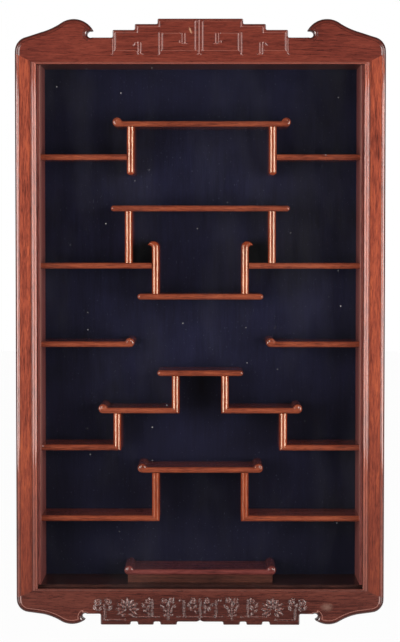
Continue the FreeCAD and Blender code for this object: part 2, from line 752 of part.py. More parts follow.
stiles = {}
for side, sign in SIDES:
    stile = new_piece(f"door_stile_{side}")
    stiles[side] = stile
    sight, edge = sign * d.sight_half_width, sign * frame_half_width
    one = sight + sign * d.bead_width
    two = one + sign * d.bead_width
    bevel = d.frame_edge_round
    turn = bevel - bevel / root(as_size(2))
    profile = [
        (sight, door_back), (sight, door_face),
        (one, door_face, sight + sign * d.bead_width / 2, door_front),
        (two, door_face, one + sign * d.bead_width / 2, door_front),
        (edge - sign * bevel, door_face),
        (edge, door_face + bevel, edge - sign * turn, door_face + turn),
        (edge, door_back),
    ]
    sketch = outline_sketch(stile, f"{stile.Name}_profile", "XY_Plane", -mitre_bottom, profile)
    pad(stile, sketch, mitre_bottom + mitre_top)
    for where, level, rise in (("top", mitre_top, d.sight_half_height),
                               ("bottom", -mitre_bottom, -d.sight_half_height)):
        past = level + d.overrun if where == "top" else level - d.overrun
        near = sight - sign * d.overrun
        slope = (as_size(level) - rise) / (d.stile_width)
        wedge = [(near, rise - slope * d.overrun), (edge + sign * d.overrun, level + slope * d.overrun),
                 (edge + sign * d.overrun, past + slope * d.overrun), (near, past + slope * d.overrun)]
        sketch = outline_sketch(stile, f"{stile.Name}_{where}_mitre_outline", "XZ_Plane",
                                -(door_front - d.overrun), wedge)
        pocket(stile, sketch, d.door_thickness + d.overrun * 2, f"{where}_mitre")
    a, b = span(sign, tenon_near, tenon_near + d.tenon_width)
    box_in(stile, "Additive", "top_tenon", (a, tenon_front, d.sight_half_height), (b, tenon_back, tenon_high))
    box_in(stile, "Additive", "bottom_tenon",
           (a, tenon_front, -tenon_low), (b, tenon_back, -d.sight_half_height))
    cut_rebate(stile)


def cut_mortises(body, direction, tenon_end):
    play = d.tenon_play
    for side, sign in SIDES:
        a, b = span(sign, tenon_near - play, tenon_near + d.tenon_width + play)
        ends = sorted((direction * d.sight_half_height, direction * (tenon_end + play)),
                      key=lambda size: size.number)
        box_in(body, "Subtractive", f"mortise_{side}",
               (a, tenon_front - play, ends[0]), (b, tenon_back + play, ends[1]))


def mirrored(half_outline):
    """Closes a right-hand half outline with its mirror image, from the middle round to the middle."""
    left = []
    for index in range(len(half_outline) - 1, 0, -1):
        stop, step = half_outline[index - 1], half_outline[index]
        via = (-step[2], step[3]) if len(step) == 4 else ()
        left.append((-as_size(stop[0]), stop[1]) + via)
    return half_outline + [(-as_size(half_outline[-1][0]), half_outline[-1][1])] + left


# Crest rail: corner, wave with a hooked tip, flat, and three steps up to the middle

# Its points are shares of the frame's half width and of the crest's rise above the glass
crest_place_shares = (
    ("corner", 0.9357),
    ("bend", 0.9829),
    ("dip", 0.8607),
    ("rise", 0.7571),
    ("wave", 0.6679),
    ("tip", 0.5768),
    ("step_one", 0.4721),
    ("step_two", 0.3529),
    ("step_three", 0.2304),
)
crest_level_shares = (
    ("shoulder", 0.292),
    ("bend", 0.4905),
    ("corner", 0.6058),
    ("dip", 0.7051),
    ("rise", 0.8905),
    ("wave", 0.9927),
    ("tip", 0.7445),
    ("flat", 0.5869),
    ("step_one", 0.7533),
    ("step_two", 0.8818),
    ("top", 1),
    ("panel_border", 0.219),
)
crest = new_piece("crest_rail")
across = sized(crest_place_shares, frame_half_width)
up = sized(crest_level_shares, d.crest_rise, d.sight_half_height)
crest_right = [
    (d.sight_half_width, d.sight_half_height),
    (frame_half_width, mitre_top),
    (frame_half_width, up.shoulder),
    (across.corner, up.corner, across.bend, up.bend),
    (across.dip, up.dip),
    (across.rise, up.rise, (across.dip + across.rise) / 2, (up.dip + up.rise) / 2 - d.wave_hollow),
    (across.tip, up.tip, across.wave, up.wave),
    (across.tip + d.hook_tip_width, up.tip - d.hook_tip_height),
    (across.tip + d.crest_notch_foot, up.flat, across.tip + d.crest_notch_depth, (up.tip + up.flat) / 2),
    (across.step_one, up.flat),
    (across.step_one, up.step_one),
    (across.step_two, up.step_one),
    (across.step_two, up.step_two),
    (across.step_three, up.step_two),
    (across.step_three, up.top),
]
crest_outline = mirrored(crest_right)
crest_base = front_outline(crest, door_back, d.door_thickness - d.bead_rise, crest_outline)
wave_steps = [2, 3, 4, 5, 6]
mirror_steps = [2 * len(crest_right) - step for step in wave_steps]
round_front(crest, crest_base, door_face, wave_steps + mirror_steps, crest_outline, d.bead_width)

# The fret panel's raised border follows the steps; ridges stand inside it

border = d.fret_width
border_inside = mirrored([
    (across.step_one - border, up.panel_border + border),
    (across.step_one - border, up.step_one - border),
    (across.step_two - border, up.step_one - border),
    (across.step_two - border, up.step_two - border),
    (across.step_three - border, up.step_two - border),
    (across.step_three - border, up.top - border),
])
first_step = crest_right.index((across.step_one, up.step_one))
border_outside = mirrored([(across.step_one, up.panel_border)] + crest_right[first_step:])
front_outline(crest, door_face, d.bead_rise, border_outside, border_inside, name="panel")

# Ridge, then its place across the half panel, its low end and its high end
fret_shares = (
    ("outer", 0.86, 0.18, 0.62),
    ("second", 0.62, 0.10, 0.55),
    ("third", 0.46, 0.10, 0.62),
    ("inner", 0.16, 0.10, 0.80),
    ("middle", 0.03, 0.10, 0.90),
)
panel_height = up.top - up.panel_border
for name, place_share, low_share, high_share in fret_shares:
    for side, sign in SIDES:
        a, b = span(sign, across.step_one * place_share, across.step_one * place_share + d.fret_width)
        box_in(crest, "Additive", f"fret_{name}_{side}",
               (a, door_front, up.panel_border + panel_height * low_share),
               (b, door_face, up.panel_border + panel_height * high_share))
cut_mortises(crest, 1, tenon_high)
cut_rebate(crest)

# Apron rail: corner, wave with a hooked tip, flat, and a low middle with notches

# Its points are shares of the frame's half width and of the apron's drop below the glass
apron_place_shares = (
    ("corner", 0.9357),
    ("bend", 0.9814),
    ("dip", 0.8571),
    ("rise", 0.7643),
    ("wave", 0.6857),
    ("tip", 0.6268),
    ("flat", 0.6179),
    ("block", 0.5418),
    ("notch_one_outer", 0.3786),
    ("notch_one_inner", 0.3393),
    ("notch_two_outer", 0.2525),
    ("notch_two_inner", 0.2164),
    ("notch_middle", 0.1261),
    ("medallion", 0.3836),
)
apron_level_shares = (
    ("shoulder", 0.3063),
    ("bend", 0.5459),
    ("corner", 0.6595),
    ("dip", 0.7135),
    ("rise", 0.8901),
    ("wave", 0.9874),
    ("tip", 0.8685),
    ("flat", 0.7009),
    ("foot", 1),
    ("notch", 0.9153),
    ("medallion", 0.4955),
    ("ridge", 0.7856),
)
apron = new_piece("apron_rail")
across = sized(apron_place_shares, frame_half_width)
down = sized(apron_level_shares, -d.apron_drop, -d.sight_half_height)
apron_right = [
    (d.sight_half_width, -d.sight_half_height),
    (frame_half_width, -mitre_bottom),
    (frame_half_width, down.shoulder),
    (across.corner, down.corner, across.bend, down.bend),
    (across.dip, down.dip),
    (across.rise, down.rise, (across.dip + across.rise) / 2, (down.dip + down.rise) / 2 + d.wave_hollow),
    (across.tip, down.tip, across.wave, down.wave),
    (across.tip + d.hook_tip_width, down.tip + d.hook_tip_height),
    (across.flat, down.flat, across.tip + d.apron_notch_depth, (down.tip + down.flat) / 2),
    (across.block, down.flat),
    (across.block, down.foot),
    (across.notch_one_outer, down.foot),
    (across.notch_one_outer, down.notch),
    (across.notch_one_inner, down.notch),
    (across.notch_one_inner, down.foot),
    (across.notch_two_outer, down.foot),
    (across.notch_two_outer, down.notch),
    (across.notch_two_inner, down.notch),
    (across.notch_two_inner, down.foot),
    (across.notch_middle, down.foot),
    (across.notch_middle, down.notch),
]
apron_outline = mirrored(apron_right)
apron_base = front_outline(apron, door_back, d.door_thickness - d.bead_rise, apron_outline)
mirror_steps = [2 * len(apron_right) - step for step in wave_steps]
round_front(apron, apron_base, door_face, wave_steps + mirror_steps, apron_outline, d.bead_width)

# Ridge, then its near and far side as shares of the low middle's half width
apron_ridge_shares = (
    ("end_panel", 0.80, 0.88),
    ("outer_stalk", 0.30, 0.33),
    ("inner_stalk", 0.08, 0.11),
)
long_ridge_share = 0.88
for side, sign in SIDES:
    bore_in(apron, f"medallion_{side}", (sign * across.medallion, door_face, down.medallion),
            FORWARD, d.medallion_radius, d.bead_rise, kind="Additive")
    for name, near_share, far_share in apron_ridge_shares:
        a, b = span(sign, across.block * near_share, across.block * far_share)
        box_in(apron, "Additive", f"{name}_{side}",
               (a, door_front, down.ridge), (b, door_face, -mitre_bottom))
box_in(apron, "Additive", "long_ridge",
       (-across.block * long_ridge_share, door_front, down.ridge - d.fret_width),
       (across.block * long_ridge_share, door_face, down.ridge))
cut_mortises(apron, -1, tenon_low)
cut_rebate(apron)

# Glass and the beads that hold it from behind

glass_half = rebate_half - d.glass_play
glass_high = rebate_height - d.glass_play
board("glass_pane", -glass_half, -glass_high, glass_half, glass_high, glass_back, d.glass_thickness)
bead_inner = d.sight_half_width + d.glass_play
bead_low = d.sight_half_height + d.glass_play
bead_depth = door_back - glass_back
for side, sign in SIDES:
    a, b = span(sign, bead_inner, glass_half)
    board(f"glass_bead_{side}", a, -glass_high, b, glass_high, door_back, bead_depth)
for side, sign in (("bottom", -1), ("top", 1)):
    a, b = span(sign, bead_low, glass_high)
    board(f"glass_bead_{side}", -bead_inner, a, bead_inner, b, door_back, bead_depth)

# Hinges: the case leaf lies on the side board, the door leaf on the stile's back

case_screws, door_screws, hinge_pins = [], [], []
knuckle = (d.hinge_height - d.hinge_side_play * 2) / 3


def hinge_leaf(label, sketch_steps, middle, knuckles):
    """A plate with its knuckles and bore; the plate is notched clear of the other leaf's knuckles."""
    leaf = new_piece(label)
    low = middle - d.hinge_height / 2
    sketch = outline_sketch(leaf, f"{label}_outline", "XY_Plane", low, sketch_steps)
    pad(leaf, sketch, d.hinge_height)
    for index in range(3):
        start = low + index * (knuckle + d.hinge_side_play)
        if index in knuckles:
            bore_in(leaf, f"knuckle_{index}", (pin_x, pin_y, start), UPWARD,
                    d.hinge_barrel, knuckle, kind="Additive")
        else:
            play = d.hinge_side_play
            bore_in(leaf, f"clearance_{index}", (pin_x, pin_y, start - play), UPWARD,
                    d.hinge_barrel + play, knuckle + play * 2)
    bore_in(leaf, "pin_bore", (pin_x, pin_y, low - d.overrun), UPWARD,
            d.hinge_pin + d.hinge_play, d.hinge_height + d.overrun * 2)
    return leaf


for row, turn in hinge_rows:
    middle = turn * hinge_rise
    case_leaf = hinge_leaf(
        f"case_hinge_leaf_{row}",
        rectangle(case_outer, pin_y, case_outer + d.hinge_plate, pin_y + d.hinge_width), middle, (0, 2))
    door_leaf = hinge_leaf(
        f"door_hinge_leaf_{row}",
        rectangle(pin_x, door_back, pin_x + d.hinge_width, door_back + d.hinge_plate), middle, (1,))
    for where, step in low_and_high:
        z = middle + step * d.hinge_screw_rise
        at = (case_outer + d.hinge_plate, pin_y + d.hinge_screw_reach, z)
        case_screws.append(screw(f"case_{row}_{where}", d.screw_head, d.hinge_plate, d.screw_shank,
                                 d.screw_length, at, LEFTWARD))
        cone_in(case_leaf, f"screw_seat_{where}", at, LEFTWARD, d.screw_head + d.screw_play,
                d.screw_shank + d.screw_play, d.hinge_plate)
        at = (pin_x + d.hinge_screw_reach, door_back + d.hinge_plate, z)
        door_screws.append(screw(f"door_{row}_{where}", d.screw_head, d.hinge_plate, d.screw_shank,
                                 d.screw_length, at, FORWARD))
        cone_in(door_leaf, f"screw_seat_{where}", at, FORWARD, d.screw_head + d.screw_play,
                d.screw_shank + d.screw_play, d.hinge_plate)
        bore_in(stiles["right"], f"{row}_{where}_bore",
                (pin_x + d.hinge_screw_reach, door_back + d.overrun, z), FORWARD,
                d.screw_shank + d.screw_play, d.screw_length - d.hinge_plate + d.overrun + d.screw_play)
    pin = doc.addObject("Part::Cylinder", f"hinge_pin_{row}")
    bind(pin, Radius=d.hinge_pin, Height=d.hinge_height)
    place(pin, pin_x, pin_y, middle - d.hinge_height / 2)
    hinge_pins.append(pin)
group("hinge_pins", hinge_pins)
group("case_hinge_screws", case_screws)
group("door_hinge_screws", door_screws)

# Catch: a magnet in the case's front edge, a steel disc in the stile's back

magnet = doc.addObject("Part::Cylinder", "magnet")
bind(magnet, Radius=d.magnet_radius, Height=d.magnet_length)
place(magnet, -magnet_x, case_front + d.magnet_length, ZERO, FORWARD)
keep(magnet, "catch_magnet")
strike = doc.addObject("Part::Cylinder", "strike")
bind(strike, Radius=d.magnet_radius, Height=d.strike_length)
place(strike, -magnet_x, door_back, ZERO, FORWARD)
keep(strike, "catch_strike")
bore_in(stiles["left"], "strike_bore", (-magnet_x, door_back + d.overrun, ZERO), FORWARD,
        d.magnet_radius + d.catch_play, d.strike_length + d.overrun)

doc.recompute()

# Every object has to be sound before anything is written

for item in doc.Objects:
    if any(word in state for state in item.State for word in ("Invalid", "Error")):
        raise ValueError(f"{item.Name} failed: {item.State}")
labels = [piece.Label for piece in pieces]
if len(set(labels)) != len(labels):
    raise ValueError("two pieces share a name")
for piece in pieces:
    if piece.Shape.isNull() or not piece.Shape.isValid():
        raise ValueError(f"{piece.Label} has no sound shape")
for piece in pieces:
    piece.Shape.exportStep(f"parts/{piece.Label}.step")
print(len(pieces), "pieces")
for piece in pieces:
    box = piece.Shape.BoundBox
    print(f"{piece.Label}: {len(piece.Shape.Solids)} solids, {piece.Shape.Volume:.0f} mm3,",
          f"x {box.XMin:.1f} {box.XMax:.1f} y {box.YMin:.1f} {box.YMax:.1f} z {box.ZMin:.1f} {box.ZMax:.1f}")
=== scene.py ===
import math

import bpy
import numpy as np
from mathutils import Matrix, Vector
from mathutils.geometry import delaunay_2d_cdt


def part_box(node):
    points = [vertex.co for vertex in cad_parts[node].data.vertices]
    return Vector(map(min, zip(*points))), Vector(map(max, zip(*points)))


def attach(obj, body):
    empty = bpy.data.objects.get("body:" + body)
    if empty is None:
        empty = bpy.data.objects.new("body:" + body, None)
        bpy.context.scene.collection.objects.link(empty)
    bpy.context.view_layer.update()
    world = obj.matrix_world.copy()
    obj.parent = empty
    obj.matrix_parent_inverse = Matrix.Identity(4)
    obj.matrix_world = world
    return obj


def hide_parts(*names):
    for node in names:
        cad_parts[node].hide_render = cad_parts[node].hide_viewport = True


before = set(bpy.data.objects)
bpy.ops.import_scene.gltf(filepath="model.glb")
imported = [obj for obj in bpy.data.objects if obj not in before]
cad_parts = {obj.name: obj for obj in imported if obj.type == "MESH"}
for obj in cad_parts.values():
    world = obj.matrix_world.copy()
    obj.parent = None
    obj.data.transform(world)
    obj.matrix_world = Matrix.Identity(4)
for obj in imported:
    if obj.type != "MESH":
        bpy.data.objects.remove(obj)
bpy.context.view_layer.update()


# Studio: the cabinet hangs above a pale floor in front of a white backdrop, with a softbox to each side
# and dimmer ones below and above it. The room behind the camera is dim, so that the lacquer and the
# glass stay clear.

class Socket:
    """The output of a shader node, which adds and multiplies like a number."""

    def __init__(self, finish, output):
        self.finish = finish
        self.output = output

    def worked(self, operation, first, second):
        return self.finish.node("ShaderNodeMath", {"operation": operation}, first, second)

    def __add__(self, other):
        return self.worked("ADD", self, other)

    def __sub__(self, other):
        return self.worked("SUBTRACT", self, other)

    def __rsub__(self, other):
        return self.worked("SUBTRACT", other, self)

    def __mul__(self, other):
        return self.worked("MULTIPLY", self, other)

    def __pow__(self, other):
        return self.worked("POWER", self, other)

    __radd__ = __add__
    __rmul__ = __mul__


class Finish:
    """The nodes of a finish, or of the room's light."""

    def __init__(self, tree):
        self.tree = tree
        tree.nodes.clear()

    def node(self, kind, settings, *values, output=0, **named):
        """Adds a node with its settings first, then the values or links of its sockets."""
        node = self.tree.nodes.new(kind)
        for key, setting in settings.items():
            if key == "stops":
                ends = node.color_ramp.elements
                ends[0].position, ends[-1].position = setting[0][0], setting[-1][0]
                ends[0].color, ends[-1].color = setting[0][1], setting[-1][1]
                for place, colour in setting[1:-1]:
                    ends.new(place).color = colour
            else:
                setattr(node, key, setting)
        sockets = list(zip(node.inputs, values))
        for key, value in named.items():
            socket = next(s for s in node.inputs if key in (s.identifier, s.name.replace(" ", "_")))
            sockets.append((socket, value))
        for socket, value in sockets:
            if isinstance(value, Socket):
                self.tree.links.new(value.output, socket)
            else:
                socket.default_value = value
        return Socket(self, node.outputs[output]) if node.outputs else None

    def where(self):
        """The place on the piece, in metres."""
        return self.node("ShaderNodeTexCoord", {}, output="Object")

    def stretched(self, scale):
        return self.node("ShaderNodeMapping", {}, Vector=self.where(), Scale=scale)

    def coordinate(self, axis):
        """How far along X, Y or Z the place lies."""
        return self.node("ShaderNodeSeparateXYZ", {}, self.where(), output=axis)

    def from_middle(self):
        """How far the place lies to either side of the cabinet's middle."""
        return self.node("ShaderNodeMath", {"operation": "ABSOLUTE"}, self.coordinate("X"))

    def noise(self, place, scale, detail=2.0, roughness=0.5, distortion=0.0):
        return self.node("ShaderNodeTexNoise", {"noise_dimensions": "3D"}, Vector=place, Scale=scale,
                         Detail=detail, Roughness=roughness, Distortion=distortion)

    def between(self, value, low, high):
        """0 below low, 1 above high, and even in between."""
        return self.node("ShaderNodeMapRange", {"clamp": True}, value, low, high, 0.0, 1.0)

    def mixed(self, share, first, second):
        """A colour part way from the first to the second."""
        return self.node("ShaderNodeMix", {"data_type": "RGBA"}, output=2, Factor_Float=share,
                         A_Color=first, B_Color=second)

    def skin(self, **values):
        """Covers the piece with one shader."""
        self.node("ShaderNodeOutputMaterial", {}, self.node("ShaderNodeBsdfPrincipled", {}, **values))


def paint(red, green, blue):
    """A colour as a screen shows it, 0 to 255, as the shader's own numbers."""
    parts = [part / 255 for part in (red, green, blue)]
    return (*[part / 12.92 if part < 0.04045 else ((part + 0.055) / 1.055) ** 2.4 for part in parts], 1)


def finish_named(name):
    material = bpy.data.materials.new(name)
    material.use_nodes = True
    return material, Finish(material.node_tree)


# The camera stands where the photo's did, as fitted to the door, the shelves and the case
studio = bpy.context.scene
studio.view_settings.view_transform = "Standard"
camera_place, camera_turns = (0.01493, -3.07009, 0.13550), (87.5787, -0.0278, 0.2965)
focal_pixels, picture_pixels, sensor = 1950, 642, 36.0
bpy.ops.object.select_all(action="DESELECT")
bpy.ops.object.camera_add(location=camera_place, rotation=[math.radians(turn) for turn in camera_turns])
camera = bpy.context.object
camera.data.sensor_width = sensor
camera.data.lens = focal_pixels / picture_pixels * sensor
studio.camera = camera

# A row of lamps has a name, a height, its tallness, and its power at the left and at the right
SIDES = (("left", -1), ("right", 1))
lamp_rows = (("softbox", 0.05, 0.95, (28.0, 28.5)), ("softbox_low", -0.76, 0.60, (2.6, 2.6)),
             ("softbox_high", 0.74, 0.36, (3.6, 3.6)))
lamp_out, lamp_front, lamp_width = 1.38, -1.52, 1.55
warm_white = (1.0, 0.945, 0.92)
lit_place = Vector((0, -0.05, 0))
for row, height, tall, powers in lamp_rows:
    for (side, sign), power in zip(SIDES, powers):
        place = Vector((sign * lamp_out, lamp_front, height))
        aim = (lit_place - place).to_track_quat("-Z", "Y").to_euler()
        bpy.ops.object.light_add(type="AREA", location=place, rotation=aim)
        lamp = bpy.context.object
        lamp.name = f"{row}_{side}"
        lamp.data.shape = "RECTANGLE"
        lamp.data.size = lamp_width
        lamp.data.size_y = tall
        lamp.data.energy = power
        lamp.data.color = warm_white
        lamp.visible_camera = False

# The air is white to the camera, and to gloss and glass only behind the cabinet
studio.world = bpy.data.worlds.new("studio")
studio.world.use_nodes = True
air = Finish(studio.world.node_tree)
to_camera = air.node("ShaderNodeLightPath", {}, output="Is Camera Ray")
in_gloss = air.node("ShaderNodeLightPath", {}, output="Is Glossy Ray")
in_glass = air.node("ShaderNodeLightPath", {}, output="Is Transmission Ray")
heading = air.node("ShaderNodeTexCoord", {}, output="Generated")
heading = air.node("ShaderNodeSeparateXYZ", {}, heading, output="Y")
backdrop = air.between(heading, 0.25, 0.75)
white = air.between(to_camera + (in_gloss + in_glass) * backdrop, 0.0, 1.0)
dim_room = 0.14 - in_gloss * 0.13
light = air.node("ShaderNodeBackground", {}, Color=(1, 1, 1, 1), Strength=white + (1 - white) * dim_room)
air.node("ShaderNodeOutputWorld", {}, light)

# Most of what is seen of the floor is its own white; the rest takes the cabinet's shadow
floor_size, floor_start, floor_level = 16, -0.3, -0.95
own_white = 0.92
bpy.ops.mesh.primitive_plane_add(size=floor_size, location=(0, floor_start + floor_size / 2, floor_level))
floor = bpy.context.object
floor.name = "studio_floor"
bpy.ops.object.transform_apply(location=True, rotation=False, scale=False)
pale, floor_finish = finish_named("pale_floor")
paper = floor_finish.node("ShaderNodeBsdfPrincipled", {}, Base_Color=(0.85, 0.85, 0.85, 1), Roughness=0.9)
glow = floor_finish.node("ShaderNodeEmission", {}, Color=(1, 1, 1, 1), Strength=1.05)
seen = (floor_finish.node("ShaderNodeLightPath", {}, output="Is Camera Ray")
        + floor_finish.node("ShaderNodeLightPath", {}, output="Is Glossy Ray")
        + floor_finish.node("ShaderNodeLightPath", {}, output="Is Transmission Ray"))
shown = floor_finish.node("ShaderNodeMixShader", {}, seen * own_white, paper, glow)
floor_finish.node("ShaderNodeOutputMaterial", {}, shown)
floor.data.materials.append(pale)


# Case: two side boards with a top and a bottom board in their rabbets, all of red rosewood.
# The wood is stained, then lacquered to a gloss; dark pores and streaks run along the grain.

def rosewood(name, along, tones, gloss=0.8, lacquer=1.85, painted_by_depth=None, pale_patch=None, arris_highlight=None,
             shaded_below=None, amber=None):
    """Lacquered rosewood with its grain along x or z; tones are dark, middle and light.
    Where depths are given, the wood is painted darker in its hollows, as painted shade, from one depth to a
    second;
    then come the tone and share of a painted line along the slight fall that follows its wave (painted shade where
    its tone is dark, a painted highlight where it is pale), and the share by which it is painted paler where it
    stands proud, as a painted highlight. A pale patch has a place, a size and a slant in x and z, and a tone; an
    arris highlight is the x and y inside which the edge is painted pale, as a painted highlight. Wood shaded below
    is painted darker from one height down to a second, as painted shade; amber is the tint of an old lacquer's
    shine."""
    material, wood = finish_named(name)
    dark, middle, light_tone = [paint(*tone) for tone in tones]

    def along_grain(stretch):
        return wood.stretched({"x": (stretch, 1, 1), "z": (1, 1, stretch)}[along])

    ribbons = wood.noise(along_grain(0.06), 130.0, 3.0, 0.6, 0.7)
    strands = wood.noise(along_grain(0.09), 520.0, 3.0, 0.65)
    dashes = wood.between(wood.noise(along_grain(0.12), 760.0, 1.0), 0.55, 0.68)
    pores = wood.between(wood.noise(along_grain(0.12), 1900.0, 0.0), 0.60, 0.70)
    drift = wood.noise(wood.where(), 9.0, 2.0)
    figure = wood.between(ribbons * 0.30 + strands * 0.52 + drift * 0.24, 0.38, 0.70)
    colour = wood.node("ShaderNodeValToRGB", {"stops": ((0.0, dark), (0.45, middle), (1.0, light_tone))}, figure)
    colour = wood.mixed(dashes * 0.42 + pores * 0.25, colour, dark)
    if painted_by_depth:
        # Painted shade darkens the hollows by depth, a painted line follows the wave's fall, and proud parts are
        # painted paler as a painted highlight; the coat thins on the deep rims
        high, low, painted_fall_tone, painted_fall_share, proud_highlight_share = painted_by_depth
        painted_hollow_shade, painted_proud_highlight, wave_root = paint(46, 24, 24), paint(206, 128, 110), 0.164
        depth = wood.coordinate("Y")
        fall = wood.between(depth, high, high + 0.0001) * (1 - wood.between(depth, high + 0.0002, high + 0.00035))
        fall = fall * wood.between(wood.from_middle(), wave_root, wave_root + 0.003)
        proud = wood.between(depth, high - 0.0003, high - 0.0010)
        colour = wood.mixed(wood.between(depth, high, low) * 0.72, colour, painted_hollow_shade)
        colour = wood.mixed(fall * painted_fall_share, colour, paint(*painted_fall_tone))
        colour = wood.mixed(proud * proud_highlight_share, colour, painted_proud_highlight)
        gloss = gloss - wood.between(depth, high + 0.0005, high + 0.0018) * (gloss * 0.9)
    if pale_patch:
        (middle_x, middle_z), (wide, tall), slant, pale = pale_patch
        middle_y, deep = -0.119, 0.01
        from_patch = wood.node("ShaderNodeMapping", {"vector_type": "TEXTURE"}, wood.where(),
                               (middle_x, middle_y, middle_z), (0, slant, 0), (wide, deep, tall))
        away = wood.node("ShaderNodeVectorMath", {"operation": "LENGTH"}, from_patch, output="Value")
        paled = wood.between(away + wood.noise(wood.where(), 520.0, 3.0, 0.7) * 1.4, 1.55, 0.85)
        colour = wood.mixed(paled * 0.75, colour, paint(*pale))
    if arris_highlight:
        # Painted highlight: a pale line painted along the arris where it catches the light, fading down the wall
        # and towards its back
        inside_x, inside_y = arris_highlight
        paled = 1 - wood.between(wood.from_middle(), inside_x, inside_x + 0.0005)
        paled = paled * wood.between(wood.coordinate("Z"), -0.40, -0.15)
        paled = paled * (1 - wood.between(wood.coordinate("Y"), inside_y, inside_y + 0.045))
        colour = wood.mixed(paled * wood.between(strands, 0.10, 0.50), colour, paint(240, 164, 150))
    if shaded_below:
        # Painted shade: the wood is painted darker towards the bottom
        painted_shade_below = wood.between(wood.coordinate("Z"), *shaded_below)
        colour = wood.mixed(painted_shade_below * 0.62, colour, paint(88, 46, 40))
    bump = wood.node("ShaderNodeBump", {}, Strength=0.10, Distance=0.0004, Height=strands - pores * 0.6)
    shine = {"Specular_IOR_Level": 0.12, "Coat_Weight": gloss, "Coat_Roughness": 0.07, "Coat_IOR": lacquer}
    roughness = 0.34 + strands * 0.16
    if amber:
        shine = {"IOR": lacquer, "Specular_Tint": amber}
        roughness = 0.05 + strands * 0.04
    wood.skin(Base_Color=colour, Roughness=roughness, Normal=bump, **shine)
    return material


def finish_nodes(material, *names):
    """Gives CAD nodes a finish in their own material slots."""
    for name in names:
        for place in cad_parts[name].material_slots:
            place.material = material


# One rosewood in three tones: the sides and the top are painted paler, as painted light inside the case, and the
# bottom is painted darkest
case_side_wood = rosewood("case_side_wood", "z", ((114, 58, 56), (176, 96, 90), (198, 116, 104)), 0.5,
                          arris_highlight=(0.2443, -0.0990))
case_top_wood = rosewood("case_top_wood", "x", ((70, 40, 38), (112, 66, 60), (136, 82, 72)), 0.4)
case_floor_wood = rosewood("case_floor_wood", "x", ((38, 20, 20), (62, 33, 30), (86, 46, 38)), 0.4)
finish_nodes(case_side_wood, "case_side_left", "case_side_right")
finish_nodes(case_top_wood, "case_top")
finish_nodes(case_floor_wood, "case_bottom")


# Back board: bare plywood, brown and dull, nailed into the case's rebate from behind.
# The brads are zinc-plated steel with small flat heads.

ply, panel = finish_named("bare_plywood")
veneer = panel.noise(panel.stretched((1, 1, 0.04)), 60.0, 4.0, 0.6, 1.2)
veneer_tones = ((0.25, paint(112, 78, 50)), (0.55, paint(158, 118, 80)), (0.85, paint(184, 146, 104)))
board_colour = panel.node("ShaderNodeValToRGB", {"stops": veneer_tones}, veneer)
rough_ply = panel.node("ShaderNodeBump", {}, Strength=0.3, Distance=0.0005, Height=veneer)
panel.skin(Base_Color=board_colour, Roughness=0.62 + veneer * 0.2, Normal=rough_ply)
finish_nodes(ply, "back_board")

zinc, plating = finish_named("zinc_plated_steel")
crystals = plating.noise(plating.where(), 900.0, 3.0, 0.6)
plating_colour = plating.mixed(crystals, paint(150, 152, 154), paint(196, 198, 196))
plating.skin(Base_Color=plating_colour, Metallic=1.0, Roughness=0.30 + crystals * 0.22)
finish_nodes(zinc, "back_board_pins")


# Velvet lining: dark blue velvet on a thin backing, cut to the case's clear inside and glued flat on the
# back board. Its pile lies unevenly, and it is painted paler in the middle of the case than low down or high up,
# as painted light and shade.

def activate(piece):
    bpy.ops.object.select_all(action="DESELECT")
    piece.select_set(True)
    bpy.context.view_layer.objects.active = piece


def faces_out():
    """Turns all faces of the piece in edit mode outwards and leaves edit mode."""
    bpy.ops.mesh.select_all(action="SELECT")
    bpy.ops.mesh.normals_make_consistent(inside=False)
    bpy.ops.object.mode_set(mode="OBJECT")


def finished(piece, material, body, slot, *stands_for, angle=40):
    """Smooths, paints and mounts a finished piece."""
    activate(piece)
    piece.data.materials.clear()
    piece.data.materials.append(material)
    bpy.ops.object.shade_smooth_by_angle(angle=math.radians(angle))
    modifier = piece.modifiers.new("flat faces", "WEIGHTED_NORMAL")
    modifier.keep_sharp = True
    bpy.ops.object.modifier_apply(modifier=modifier.name)
    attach(piece, body)
    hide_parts(*stands_for)


nap, cloth = finish_named("dark_velvet")
upright_nap = cloth.noise(cloth.stretched((1, 1, 0.09)), 260.0, 2.0, 0.6)
patches = cloth.noise(cloth.where(), 9.0, 3.0, 0.55)
fibres = cloth.noise(cloth.where(), 1500.0, 1.0)
lint = cloth.between(cloth.noise(cloth.where(), 330.0, 0.0), 0.77, 0.80)
velvet_height = cloth.coordinate("Z")
# Painted light and shade: the velvet is painted paler in the middle of the case and darker low down and high up
painted_middle_light = cloth.between(velvet_height, -0.38, 0.02) - cloth.between(velvet_height, 0.16, 0.38) * 0.6
lie_of_pile = cloth.between(patches * 0.7 + upright_nap * 0.3 + fibres * 0.12, 0.38, 0.78)
pile_and_painted_shade = lie_of_pile * (0.30 + painted_middle_light * 0.65)
velvet_colour = cloth.mixed(pile_and_painted_shade, paint(20, 18, 36), paint(38, 38, 68))
velvet_colour = cloth.mixed(lint * 0.3, velvet_colour, paint(90, 92, 110))
pile = cloth.node("ShaderNodeBump", {}, Strength=0.5, Distance=0.0005, Height=fibres + upright_nap)
cloth.skin(Base_Color=velvet_colour, Roughness=0.92, Normal=pile, Specular_IOR_Level=0.15,
           Sheen_Weight=0.12, Sheen_Roughness=0.4, Sheen_Tint=paint(70, 72, 120))
velvet_thickness, velvet_depth, ripple_height = 0.0003, 0.0006, 0.00012
low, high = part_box("velvet_lining")
bpy.ops.object.select_all(action="DESELECT")
bpy.ops.mesh.primitive_grid_add(x_subdivisions=60, y_subdivisions=96, size=1)
lining = bpy.context.object
lining.name = "velvet_sheet"
